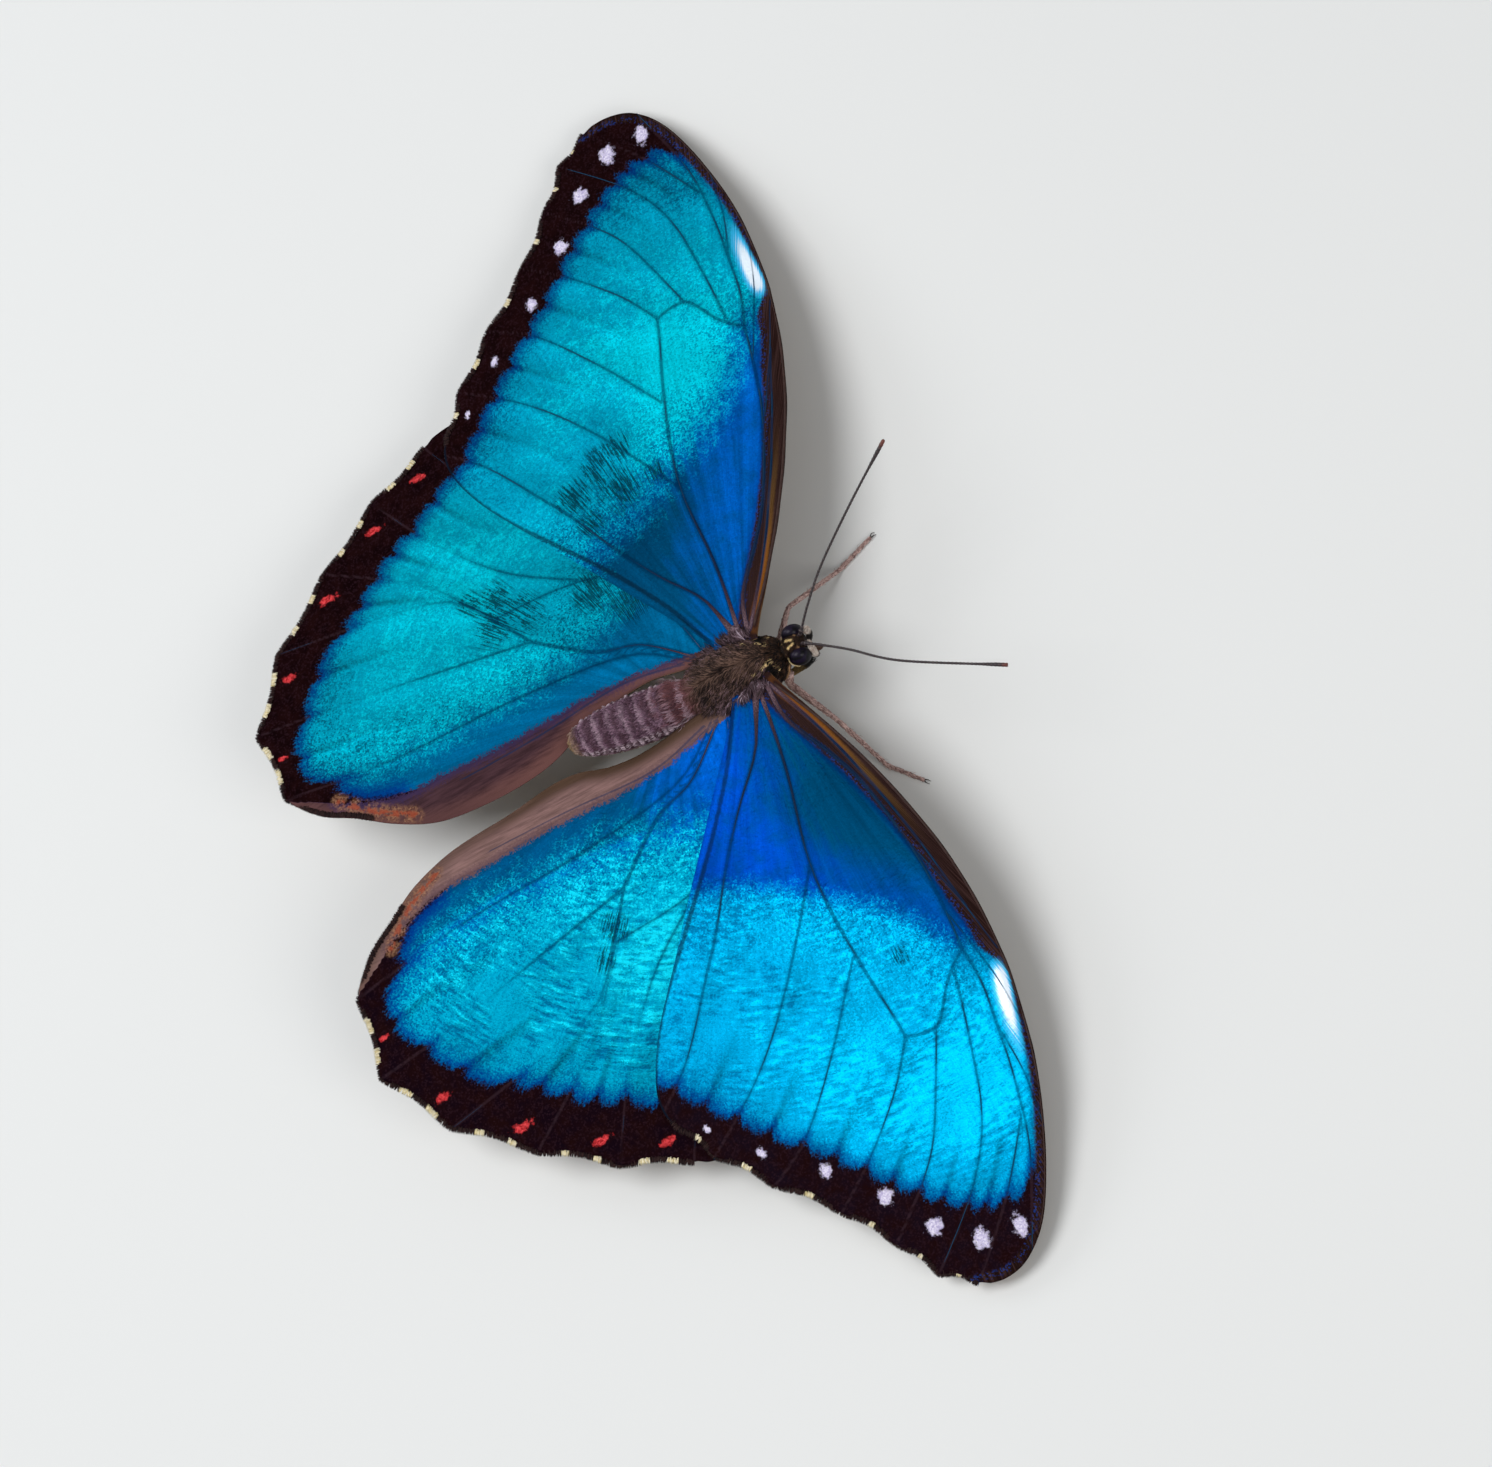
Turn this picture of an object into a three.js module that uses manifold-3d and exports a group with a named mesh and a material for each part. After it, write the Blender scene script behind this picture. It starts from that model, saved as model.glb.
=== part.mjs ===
// Blue morpho butterfly, life size, standing with its four wings spread nearly flat.
// Millimetres, +Z up, head toward -Y, the insect's left side toward +X, feet on z = 0.
import * as THREE from 'three';
import { ParametricGeometry } from 'three/addons/geometries/ParametricGeometry.js';
import { mergeVertices } from 'three/addons/utils/BufferGeometryUtils.js';
import Module from 'manifold-3d';

const wasm = await Module();
wasm.setup();

// Driving dimensions.
const hingeHeight = 12.5;     // forewing hinge above the floor
const hingeHalfWidth = 2.6;   // wing hinge to the middle of the body
const hindwingSetBack = 4.6;  // hindwing hinge behind the forewing hinge
const hindwingDrop = 1.1;     // hindwing hinge below the forewing hinge
const wingThickness = 0.55;
const scallopDepth = 0.45;
const jointGap = 0.3;         // clear space between neighbouring pieces
const bodyDrop = 1.9;         // middle of the thorax below the hinge
const thoraxRadius = 3.3;
const abdomenRadius = 2.6;
const abdomenLength = 13.6;
const abdomenLean = 1.2;      // the tail lies this far toward the insect's left
const waist = 8;              // start of the abdomen behind the hinge
const eyeRadius = 1.15;
const antennaRadius = 0.2;
const femurRadius = 0.42;
const tibiaRadius = 0.31;
const tarsusWidth = 0.64;
const tarsusHeight = 0.56;
const tarsusLength = 4.6;

// Wing plans, measured outward and forward from each hinge. The costa is the front edge,
// the vein ends share the scalloped outer edge, and the root lies beside the body.
const forewing = {
  costa: [
    [0.5, 1.2], [6.7, 4.8], [14.7, 8.4], [24, 11.2], [34, 12.2], [44, 11.1],
    [52, 8.6], [57.5, 5.9], [60.5, 3], [61.5, 0], [61.1, -3],
  ],
  veinEnds: [[61.1, -3], [58.8, -6.3], [54.6, -9.1], [49.7, -13], [44.7, -18.3], [39.8, -22.8], [35.6, -25.4]],
  inner: [[35.6, -25.4], [32.2, -25.8], [28.5, -24.4], [24, -21.4], [18.7, -16.8], [12.5, -11.4], [6, -6.6], [0.5, -3.6]],
  root: [[0.5, 1.2], [0.5, -3.6]],
  droop: [0.14, 0.00055],
};
const hindwing = {
  costa: [[1, 0.4], [3.4, 3.3], [9, 4.6], [17, 3.2], [25, -1.5], [32, -7.6], [36.8, -13.6], [38.6, -18.5], [38, -22.5]],
  veinEnds: [[38, -22.5], [35.1, -29.5], [30.2, -36.8], [24.2, -44], [16.7, -48.5], [8.6, -47.4]],
  inner: [
    [8.6, -47.4], [5.2, -44.2], [3.1, -40.7], [0.8, -37.2], [-0.9, -33], [-1.5, -27.5], [-1.5, -21.5], [-0.8, -17.6],
    [0.4, -14.8],
  ],
  root: [[1, 0.4], [1.2, -7], [0.4, -14.8]],
  droop: [0.13, 0.0014],
};
const foldDepth = 2.4;  // the inner edge of a hindwing turns down along the abdomen
const foldWidth = 6.5;

// Body profiles: [distance behind the forewing hinge, radius].
const headProfile = [[-5.35, 0], [-5.2, 0.6], [-4.75, 1.2], [-4.1, 1.5], [-3.4, 1.42], [-2.85, 1.1], [-2.75, 0]];
const collarProfile = [[-2.45, 0], [-2.4, 1.5], [-2, 2.05], [-1.5, 2.45], [-1.35, 2.5], [-1.3, 0]];
const thoraxProfile = [
  [-1, 0], [-0.98, 2.62], [0, 3.02], [1.4, 3.24], [2.9, 3.3], [4.4, 3.2], [5.8, 2.88], [7, 2.38], [7.68, 1.85], [7.7, 0],
];

const colours = {
  eye: 0x1e1428,
  head: 0x4a3a34,
  palp: 0xd8cdb4,
  antenna: 0x1c1416,
  thorax: 0x5a4b3c,
  abdomen: 0x78605c,
  wing: 0x0096c8,
  leg: 0x9a7470,
};
const finish = (colour, roughness) => new THREE.MeshStandardMaterial({ color: colour, roughness, metalness: 0 });
const materials = {
  eye: finish(colours.eye, 0.25),
  head: finish(colours.head, 0.9),
  palp: finish(colours.palp, 0.9),
  antenna: finish(colours.antenna, 0.6),
  thorax: finish(colours.thorax, 0.95),
  abdomen: finish(colours.abdomen, 0.9),
  wing: finish(colours.wing, 0.4),
  leg: finish(colours.leg, 0.7),
};

const butterfly = new THREE.Group();

// Keeps the corners only, drops flat triangles and turns every face outward.
function closed(geometry) {
  const bare = geometry.clone();
  bare.deleteAttribute('normal');
  bare.deleteAttribute('uv');
  const merged = mergeVertices(bare, 1e-4);
  const position = merged.attributes.position;
  const corner = [new THREE.Vector3(), new THREE.Vector3(), new THREE.Vector3()];
  const kept = [];
  let volume = 0;
  for (let i = 0; i < merged.index.count; i += 3) {
    const abc = [0, 1, 2].map((k) => merged.index.getX(i + k));
    if (new Set(abc).size < 3) continue;
    kept.push(abc);
    abc.forEach((vertex, k) => corner[k].fromBufferAttribute(position, vertex));
    volume += corner[0].dot(corner[1].clone().cross(corner[2]));
  }
  if (volume < 0) kept.forEach((abc) => abc.reverse());
  merged.setIndex(kept.flat());
  return merged;
}

function toSolid(geometry) {
  const whole = closed(geometry);
  return new wasm.Manifold(new wasm.Mesh({
    numProp: 3,
    vertProperties: new Float32Array(whole.attributes.position.array),
    triVerts: new Uint32Array(whole.index.array),
  }));
}

function fromSolid(solid) {
  const mesh = solid.getMesh();
  const geometry = new THREE.BufferGeometry();
  geometry.setAttribute('position', new THREE.BufferAttribute(new Float32Array(mesh.vertProperties), 3));
  geometry.setIndex(new THREE.BufferAttribute(new Uint32Array(mesh.triVerts), 1));
  return geometry;
}

function add(name, geometry, material) {
  const shape = closed(geometry);
  shape.computeVertexNormals();
  const mesh = new THREE.Mesh(shape, material);
  mesh.name = name;
  butterfly.add(mesh);
}

// A round body part along Y about a middle line that lies below the hinge.
function roundBody(profile, segments, drop, tallness = 1) {
  const points = profile.map(([back, radius]) => new THREE.Vector2(radius, back));
  const geometry = new THREE.LatheGeometry(points, segments);
  geometry.scale(1, 1, tallness);
  geometry.translate(0, 0, hingeHeight - drop);
  return geometry;
}

// A straight limb piece from one point to another, thickest part way along, with round ends.
function limb(start, end, radius, segments = 8) {
  const length = start.distanceTo(end);
  const profile = [[0, 0], [0.04, 0.6], [0.3, 1], [0.62, 0.94], [0.95, 0.7], [1, 0]];
  const points = profile.map(([along, wide]) => new THREE.Vector2(wide * radius, along * length));
  const geometry = new THREE.LatheGeometry(points, segments);
  const turn = new THREE.Quaternion();
  turn.setFromUnitVectors(new THREE.Vector3(0, 1, 0), end.clone().sub(start).normalize());
  geometry.applyQuaternion(turn);
  geometry.translate(start.x, start.y, start.z);
  return geometry;
}

// A tube of even radius along a curve.
function tube(points, radius, steps, sides = 8) {
  const section = new THREE.Shape(new THREE.Path().absarc(0, 0, radius, 0, 2 * Math.PI).getPoints(sides / 2));
  const path = new THREE.CatmullRomCurve3(points);
  return new THREE.ExtrudeGeometry(section, { steps, bevelEnabled: false, extrudePath: path });
}

function smooth(points, count) {
  return new THREE.SplineCurve(points.map(([x, y]) => new THREE.Vector2(x, y))).getSpacedPoints(count);
}

// The outer edge dips in softly between one vein end and the next.
function scallops(ends, stepsEach) {
  const edge = [];
  for (let i = 0; i + 1 < ends.length; i += 1) {
    const from = new THREE.Vector2(...ends[i]);
    const to = new THREE.Vector2(...ends[i + 1]);
    const inward = new THREE.Vector2(to.y - from.y, from.x - to.x).normalize();
    for (let k = 0; k < stepsEach; k += 1) {
      const t = k / stepsEach;
      const dip = scallopDepth * (1 - Math.cos(2 * Math.PI * t)) / 2;
      edge.push(from.clone().lerp(to, t).addScaledVector(inward, dip));
    }
  }
  edge.push(new THREE.Vector2(...ends.at(-1)));
  return edge;
}

function wingOutline(wing, costaSteps, innerSteps) {
  return [
    ...smooth(wing.costa, costaSteps).slice(0, -1),
    ...scallops(wing.veinEnds, 4),
    ...smooth(wing.inner, innerSteps).slice(1),
  ];
}

// A thin closed plate: rays run from the root to the edge over the top and back below.
function wingPlate(wing, outline, heightAt, place) {
  const raySteps = 4;
  const lastStep = 2 * raySteps + 2;
  const rays = outline.length - 1;
  const rootLine = new THREE.SplineCurve(wing.root.map(([x, y]) => new THREE.Vector2(x, y)));
  const surface = (u, v, target) => {
    const step = Math.round(u * lastStep) % lastStep;
    const onTop = step <= raySteps;
    const reach = (onTop ? step : lastStep - 1 - step) / raySteps;
    const ray = Math.round(v * rays);
    const plan = rootLine.getPoint(ray / rays).lerp(outline[ray], reach);
    const lift = (onTop ? 0.5 : -0.5) * wingThickness;
    target.copy(place(plan.x, plan.y, heightAt(plan.x, plan.y) + lift));
  };
  return new ParametricGeometry(surface, lastStep, rays);
}

// How far each wing is held back from square to the body, in degrees.
const wingSwings = {
  forewing: { left: -0.6, right: 0.5 },
  hindwing: { left: 1.9, right: -1.9 },
};

function addWings(side, sign) {
  // From a wing plan to its place beside the body, turned about the hinge.
  const placer = (swing, setBack) => (x, y, z) => {
    const turn = THREE.MathUtils.degToRad(swing);
    const outward = x * Math.cos(turn) + y * Math.sin(turn);
    const backward = x * Math.sin(turn) - y * Math.cos(turn);
    return new THREE.Vector3(sign * (hingeHalfWidth + outward), setBack + backward, z);
  };

  const foreHeight = (x) => hingeHeight - forewing.droop[0] * x - forewing.droop[1] * x * x;
  const foreEdge = wingOutline(forewing, 22, 14);
  const forePlace = placer(wingSwings.forewing[side], 0);
  add(`forewing_${side}`, wingPlate(forewing, foreEdge, foreHeight, forePlace), materials.wing);

  const hindHeight = (x, y) => {
    const across = THREE.MathUtils.clamp(1 - (x + 1.5) / foldWidth, 0, 1);
    const alongFold = THREE.MathUtils.smoothstep(-y, 3, 12) * (1 - THREE.MathUtils.smoothstep(-y, 34, 46));
    const droop = hindwing.droop[0] * x + hindwing.droop[1] * x * x;
    return hingeHeight - hindwingDrop - droop - foldDepth * across * across * alongFold;
  };
  const besideAbdomen = (points) => points.map(([x, y]) => {
    const behind = hindwingSetBack - y;
    const room = 0.8 * leanAt(behind) * (1 - THREE.MathUtils.smoothstep(behind, 18.5, 21.5));
    return side === 'left' ? [x + room, y] : [x, y];
  });
  const hindPlan = { ...hindwing, inner: besideAbdomen(hindwing.inner), root: besideAbdomen(hindwing.root) };
  const hindEdge = wingOutline(hindPlan, 18, 14);
  const hindPlace = placer(wingSwings.hindwing[side], hindwingSetBack);
  add(`hindwing_${side}`, wingPlate(hindPlan, hindEdge, hindHeight, hindPlace), materials.wing);
}

function addHead() {
  const headDrop = 1.65;
  const eyeSpread = 1.25;
  const eyeFlatness = 0.75;
  const eyeBack = -4.05;
  const eyeDrop = 1.5;
  let head = toSolid(roundBody(headProfile, 20, headDrop, 0.97));
  for (const [side, sign] of [['left', 1], ['right', -1]]) {
    const eye = new THREE.SphereGeometry(eyeRadius, 16, 12);
    eye.scale(eyeFlatness, 1, 1.04);
    eye.translate(sign * eyeSpread, eyeBack, hingeHeight - eyeDrop);
    const socket = new THREE.SphereGeometry(eyeRadius + jointGap, 12, 8);
    socket.scale(eyeFlatness, 1, 1.04);
    socket.translate(sign * eyeSpread, eyeBack, hingeHeight - eyeDrop);
    head = head.subtract(toSolid(socket));
    add(`eye_${side}`, eye, materials.eye);
  }
  add('head', fromSolid(head), materials.head);
}

function addMouthparts() {
  for (const [side, sign] of [['left', 1], ['right', -1]]) {
    const base = new THREE.Vector3(sign * 0.62, -4.75, hingeHeight - 3.7);
    const tip = new THREE.Vector3(sign * 0.62, -6.1, hingeHeight - 1.3);
    add(`palp_${side}`, limb(base, tip, 0.4), materials.palp);
  }
  const coil = new THREE.TorusGeometry(0.62, 0.24, 6, 14);
  coil.rotateY(Math.PI / 2);
  coil.translate(0, -4.75, hingeHeight - 4.55);
  add('proboscis', coil, materials.antenna);
}

// Antenna routes, from the head to the club: [outward, behind the hinge, above the hinge].
const antennaRoutes = {
  left: [[0.62, -5.2, -0.5], [2.4, -7.3, 0.8], [5, -10.3, 1.9], [8.4, -15.8, 4.1], [11.6, -21.3, 6]],
  right: [[0.62, -5.2, -0.5], [2.3, -7.6, 0.4], [4, -9.9, 1.1], [7.7, -14.6, 2.2], [12.8, -23.9, 3]],
};

function addAntennae() {
  const clubLength = 4.4;
  const clubRadius = 0.3;
  for (const [side, sign] of [['left', 1], ['right', -1]]) {
    const points = antennaRoutes[side].map(([x, y, z]) => new THREE.Vector3(sign * x, y, hingeHeight + z));
    const tip = points.at(-1);
    const outward = tip.clone().sub(points.at(-2)).normalize();
    const clubStart = tip.clone().addScaledVector(outward, -clubLength * 0.9);
    const clubEnd = tip.clone().addScaledVector(outward, clubLength * 0.1);
    const shaft = toSolid(tube(points, antennaRadius, 22));
    const club = toSolid(limb(clubStart, clubEnd, clubRadius));
    add(`antenna_${side}`, fromSolid(shaft.add(club)), materials.antenna);
  }
}

// The abdomen leans toward the insect's left, and the hindwing on that side makes room for it.
function leanAt(behind) {
  const share = THREE.MathUtils.clamp((behind - waist) / abdomenLength, 0, 1);
  return abdomenLean * share ** 1.3;
}

function addBody() {
  add('collar', roundBody(collarProfile, 20, bodyDrop + 0.15), materials.thorax);
  add('thorax', roundBody(thoraxProfile, 24, bodyDrop, 1.02), materials.thorax);

  const segments = 8;
  const outlineRadius = (t) => abdomenRadius * Math.pow(Math.sin(Math.PI * (0.24 + 0.76 * t)), 0.62);
  const profile = [[waist, 0]];
  for (let i = 0; i < 3 * segments; i += 1) {
    const t = i / (3 * segments);
    const swell = 0.06 * Math.sin(Math.PI * ((i % 3) / 3 + 0.15));
    profile.push([waist + abdomenLength * t, outlineRadius(t) + swell]);
  }
  profile.push([waist + abdomenLength, 0]);
  const abdomen = roundBody(profile, 20, bodyDrop, 0.94);
  const places = abdomen.getAttribute('position');
  for (let i = 0; i < places.count; i += 1) {
    places.setX(i, places.getX(i) + leanAt(places.getY(i)));
  }
  add('abdomen', abdomen, materials.abdomen);
}

// Leg joints: [outward, behind the hinge, below the hinge]; the foot is [outward, behind, toe angle].
const legs = {
  midleg_left: { hip: [1.9, -0.8, 5.1], knee: [6, -2.8, 6.7], heel: [9.4, -7.4], toes: 68 },
  midleg_right: { hip: [1.9, -0.8, 5.1], knee: [7.2, -3.9, 6.1], heel: [11.3, -5.1], toes: 45 },
  hindleg_left: { hip: [2, 4.4, 5.1], knee: [6.2, 9.8, 6], heel: [8.8, 17.2], toes: -72 },
  hindleg_right: { hip: [2, 4.4, 5.1], knee: [6.2, 9.8, 6], heel: [8.8, 17.2], toes: -72 },
};

function addLeg(name, leg) {
  const sign = name.endsWith('left') ? 1 : -1;
  const point = ([x, y, z]) => new THREE.Vector3(sign * x, y, hingeHeight - z);
  const between = (from, to, distance) => from.clone().addScaledVector(to.clone().sub(from).normalize(), distance);
  const hip = point(leg.hip);
  const knee = point(leg.knee);
  const ankle = point([...leg.heel, hingeHeight - tarsusHeight - jointGap]);
  add(`${name}_femur`, limb(hip, knee, femurRadius), materials.leg);
  add(`${name}_tibia`, limb(between(knee, ankle, jointGap), ankle, tibiaRadius), materials.leg);

  // The foot is a bar with a round back and a flat sole.
  const section = new THREE.Shape();
  section.moveTo(-tarsusWidth / 2, 0);
  section.lineTo(tarsusWidth / 2, 0);
  section.absellipse(0, tarsusHeight / 2, tarsusWidth / 2, tarsusHeight / 2, 0, Math.PI, false);
  const foot = new THREE.ExtrudeGeometry(section, { depth: tarsusLength, bevelEnabled: false, curveSegments: 8 });
  foot.rotateX(Math.PI / 2);
  foot.rotateZ(THREE.MathUtils.degToRad(sign * (90 - leg.toes)));
  foot.translate(sign * leg.heel[0], leg.heel[1], 0);
  add(`${name}_tarsus`, foot, materials.leg);
}

// The forelegs are small brushes folded against the chest.
function addForelegs() {
  for (const [side, sign] of [['left', 1], ['right', -1]]) {
    const shoulder = new THREE.Vector3(sign * 0.95, -1.3, hingeHeight - 5.3);
    const wrist = new THREE.Vector3(sign * 1.05, -3.9, hingeHeight - 4.9);
    add(`foreleg_${side}`, limb(shoulder, wrist, 0.4), materials.leg);
  }
}

addHead();
addMouthparts();
addAntennae();
addBody();
addForelegs();
for (const [side, sign] of [['left', 1], ['right', -1]]) addWings(side, sign);
for (const [name, leg] of Object.entries(legs)) addLeg(name, leg);

// The origin lies on the floor under the middle of the whole insect.
const box = new THREE.Box3().setFromObject(butterfly);
const centre = box.getCenter(new THREE.Vector3());
butterfly.position.set(-centre.x, -centre.y, -box.min.z);

export default butterfly;
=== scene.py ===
# Blue morpho butterfly, still and life size, with its four wings spread. The scene is in metres;
# shapes are worked out in millimetres from the forewing hinge, +Z up, head toward -Y.
import math

import bpy
import numpy as np
from mathutils import Matrix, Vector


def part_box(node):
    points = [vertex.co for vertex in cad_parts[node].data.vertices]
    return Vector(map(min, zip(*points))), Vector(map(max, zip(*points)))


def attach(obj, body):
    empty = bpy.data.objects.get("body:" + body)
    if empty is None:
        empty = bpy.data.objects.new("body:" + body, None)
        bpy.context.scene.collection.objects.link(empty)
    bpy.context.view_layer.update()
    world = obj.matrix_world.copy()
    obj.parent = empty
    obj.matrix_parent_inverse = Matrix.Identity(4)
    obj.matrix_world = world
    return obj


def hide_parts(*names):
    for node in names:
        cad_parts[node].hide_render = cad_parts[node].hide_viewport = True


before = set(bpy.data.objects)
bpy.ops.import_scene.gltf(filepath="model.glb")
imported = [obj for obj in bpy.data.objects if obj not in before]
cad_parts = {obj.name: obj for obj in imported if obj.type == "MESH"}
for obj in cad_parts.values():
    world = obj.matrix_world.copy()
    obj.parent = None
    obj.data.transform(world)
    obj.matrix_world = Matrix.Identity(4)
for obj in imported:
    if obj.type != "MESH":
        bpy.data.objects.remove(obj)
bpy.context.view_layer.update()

mm = 0.001
thoraxLow, thoraxHigh = (np.array(corner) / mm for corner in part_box("thorax"))
thoraxFront = 1.0   # the thorax starts this far ahead of the hinge
hingeRise = 1.9     # and its middle lies this far below
hinge = np.array([
    (thoraxLow[0] + thoraxHigh[0]) / 2,
    thoraxLow[1] + thoraxFront,
    (thoraxLow[2] + thoraxHigh[2]) / 2 + hingeRise,
])
hingeHalfWidth = 2.6
floorLevel = -hinge[2]
sides = {"left": 1, "right": -1}


# ---- camera, lights and floor

cameraPlace = {
    "toward": (-0.355, -0.298, 0.886),  # from the hinge to the camera
    "distance": 801.0,
    "roll": 26.36,
    "aim": (-0.83, -7.2),               # right of and above the hinge, across the view
    "lens": 199.7,
}
lamps = {
    "overhead": {"place": (60, 190, 620), "size": 420, "power": 2.6, "tint": (1.0, 1.0, 1.0)},
    "front": {"place": (-420, -380, 420), "size": 380, "power": 1.5, "tint": (1.0, 0.98, 0.95)},
    "rear": {"place": (380, 420, 300), "size": 320, "power": 0.8, "tint": (0.94, 0.97, 1.0)},
}


def unit(vector):
    vector = np.asarray(vector, float)
    return vector / np.linalg.norm(vector, axis=-1, keepdims=True)


def lookFrom(thing, place, target, upward):
    back = unit(np.asarray(place, float) - target)
    right = unit(np.cross(upward, back))
    up = np.cross(back, right)
    turned = np.eye(4)
    turned[:3, 0], turned[:3, 1], turned[:3, 2] = right, up, back
    turned[:3, 3] = (np.asarray(place) + hinge) * mm
    thing.matrix_world = Matrix(turned.tolist())


def placeCamera():
    toward = unit(cameraPlace["toward"])
    ahead = unit(np.array([0, -1, 0]) + toward * toward[1])
    across = np.cross(toward, ahead)
    roll = math.radians(cameraPlace["roll"])
    right = math.cos(roll) * ahead - math.sin(roll) * across
    up = math.sin(roll) * ahead + math.cos(roll) * across
    camera = bpy.data.objects.new("camera", bpy.data.cameras.new("camera"))
    bpy.context.scene.collection.objects.link(camera)
    target = cameraPlace["aim"][0] * right + cameraPlace["aim"][1] * up
    lookFrom(camera, toward * cameraPlace["distance"], target, up)
    camera.data.lens = cameraPlace["lens"]
    camera.data.sensor_width = 36
    camera.data.clip_start = 0.01
    camera.data.clip_end = 20
    bpy.context.scene.camera = camera


def placeLamps():
    for name, lamp in lamps.items():
        light = bpy.data.lights.new(name, "AREA")
        light.shape = "DISK"
        light.size = lamp["size"] * mm
        light.energy = lamp["power"]
        light.color = lamp["tint"]
        holder = bpy.data.objects.new(name, light)
        bpy.context.scene.collection.objects.link(holder)
        lookFrom(holder, lamp["place"], np.zeros(3), (0.1, 1, 0))
    world = bpy.data.worlds.new("studio")
    bpy.context.scene.world = world
    world.use_nodes = True
    world.node_tree.nodes["Background"].inputs["Color"].default_value = (0.93, 0.96, 1.0, 1)
    world.node_tree.nodes["Background"].inputs["Strength"].default_value = 0.3
    bpy.context.scene.view_settings.view_transform = "Standard"
    bpy.context.scene.view_settings.look = "None"


placeCamera()
placeLamps()
print("camera and lamps are set")


# ---- colours and shader nodes

def colour(red, green, blue):
    linear = [
        (c / 255 / 12.92) if c < 11 else ((c / 255 + 0.055) / 1.055) ** 2.4 for c in (red, green, blue)
    ]
    return (*linear, 1.0)


class Signal:
    # A value that varies over a surface, added and multiplied like a number.
    def __init__(self, tree, socket):
        self.tree, self.socket = tree, socket

    def __add__(self, other):
        return calc("ADD", self, other)

    def __radd__(self, other):
        return calc("ADD", other, self)

    def __sub__(self, other):
        return calc("SUBTRACT", self, other)

    def __rsub__(self, other):
        return calc("SUBTRACT", other, self)

    def __mul__(self, other):
        return calc("MULTIPLY", self, other)

    def __truediv__(self, other):
        return calc("DIVIDE", self, other)

    def __abs__(self):
        return calc("ABSOLUTE", self)

    def into(self, socket):
        self.tree.links.new(self.socket, socket)


def addNode(tree, kind, inputs=None, **settings):
    node = tree.nodes.new(kind)
    for key, value in settings.items():
        setattr(node, key, value)
    for key, value in (inputs or {}).items():
        if isinstance(value, Signal):
            value.into(node.inputs[key])
        else:
            node.inputs[key].default_value = value
    return node


def through(kind, inputs, output=0, **settings):
    # The output of a new node that one or more signals run through.
    tree = next(value.tree for value in inputs.values() if isinstance(value, Signal))
    return Signal(tree, addNode(tree, kind, inputs, **settings).outputs[output])


def calc(operation, *values):
    return through("ShaderNodeMath", dict(enumerate(values)), operation=operation)


def fade(value, low, high, start=0.0, end=1.0, blend="SMOOTHSTEP"):
    # Goes softly from start to end as value goes from low to high.
    inputs = {"Value": value, "From Min": low, "From Max": high, "To Min": start, "To Max": end}
    return through("ShaderNodeMapRange", inputs, interpolation_type=blend)


def mix(share, first, second):
    return through("ShaderNodeMix", {0: share, 6: first, 7: second}, 2, data_type="RGBA")


def field(tree, name, part="Vector"):
    node = addNode(tree, "ShaderNodeAttribute", attribute_name=name, attribute_type="GEOMETRY")
    return Signal(tree, node.outputs[part])


def level(tree, name):
    return field(tree, name, "Fac")


def parts(vector):
    outputs = addNode(vector.tree, "ShaderNodeSeparateXYZ", {0: vector}).outputs
    return [Signal(vector.tree, output) for output in outputs]


def stretched(vector, scale, offset=(0, 0, 0)):
    return through("ShaderNodeMapping", {"Vector": vector, "Scale": scale, "Location": offset})


def noise(vector, scale, detail, roughness=0.55):
    inputs = {"Vector": vector, "Scale": scale, "Detail": detail, "Roughness": roughness}
    return through("ShaderNodeTexNoise", inputs, "Fac")


def cells(vector, scale):
    # Random value of each cell, and the distance from its middle.
    node = addNode(vector.tree, "ShaderNodeTexVoronoi", {"Vector": vector, "Scale": scale})
    tones, distance = (Signal(vector.tree, node.outputs[key]) for key in ("Color", "Distance"))
    return parts(tones)[0], distance


def centred(value, amount):
    # Noise around zero, from minus to plus half the amount.
    return (value - 0.5) * amount


def shadeBy(tone, amount):
    return through("ShaderNodeVectorMath", {0: tone, "Scale": amount}, operation="SCALE")


def newGroup(name, inputs, outputs):
    tree = bpy.data.node_groups.new(name, "ShaderNodeTree")
    for key, default in inputs.items():
        kind = "NodeSocketColor" if isinstance(default, tuple) else "NodeSocketFloat"
        tree.interface.new_socket(name=key, in_out="INPUT", socket_type=kind).default_value = default
    for key in outputs:
        kind = "NodeSocketColor" if key == "Color" else "NodeSocketFloat"
        tree.interface.new_socket(name=key, in_out="OUTPUT", socket_type=kind)
    given = {socket.name: Signal(tree, socket) for socket in tree.nodes.new("NodeGroupInput").outputs}
    made = tree.nodes.new("NodeGroupOutput").inputs
    return tree, given, made


def newMaterial(name, **shader):
    material = bpy.data.materials.new(name)
    material.use_nodes = True
    for key, value in shader.items():
        material.node_tree.nodes["Principled BSDF"].inputs[key.replace("_", " ")].default_value = value
    return material


def dress(material, tone, height=None, strength=0.0, depth=0.0, invert=False):
    # Gives the surface its colour, and a bump of so many millimetres.
    surface = material.node_tree.nodes["Principled BSDF"]
    tone.into(surface.inputs["Base Color"])
    if height:
        inputs = {"Height": height, "Strength": strength, "Distance": depth * mm}
        through("ShaderNodeBump", inputs, invert=invert).into(surface.inputs["Normal"])


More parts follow.
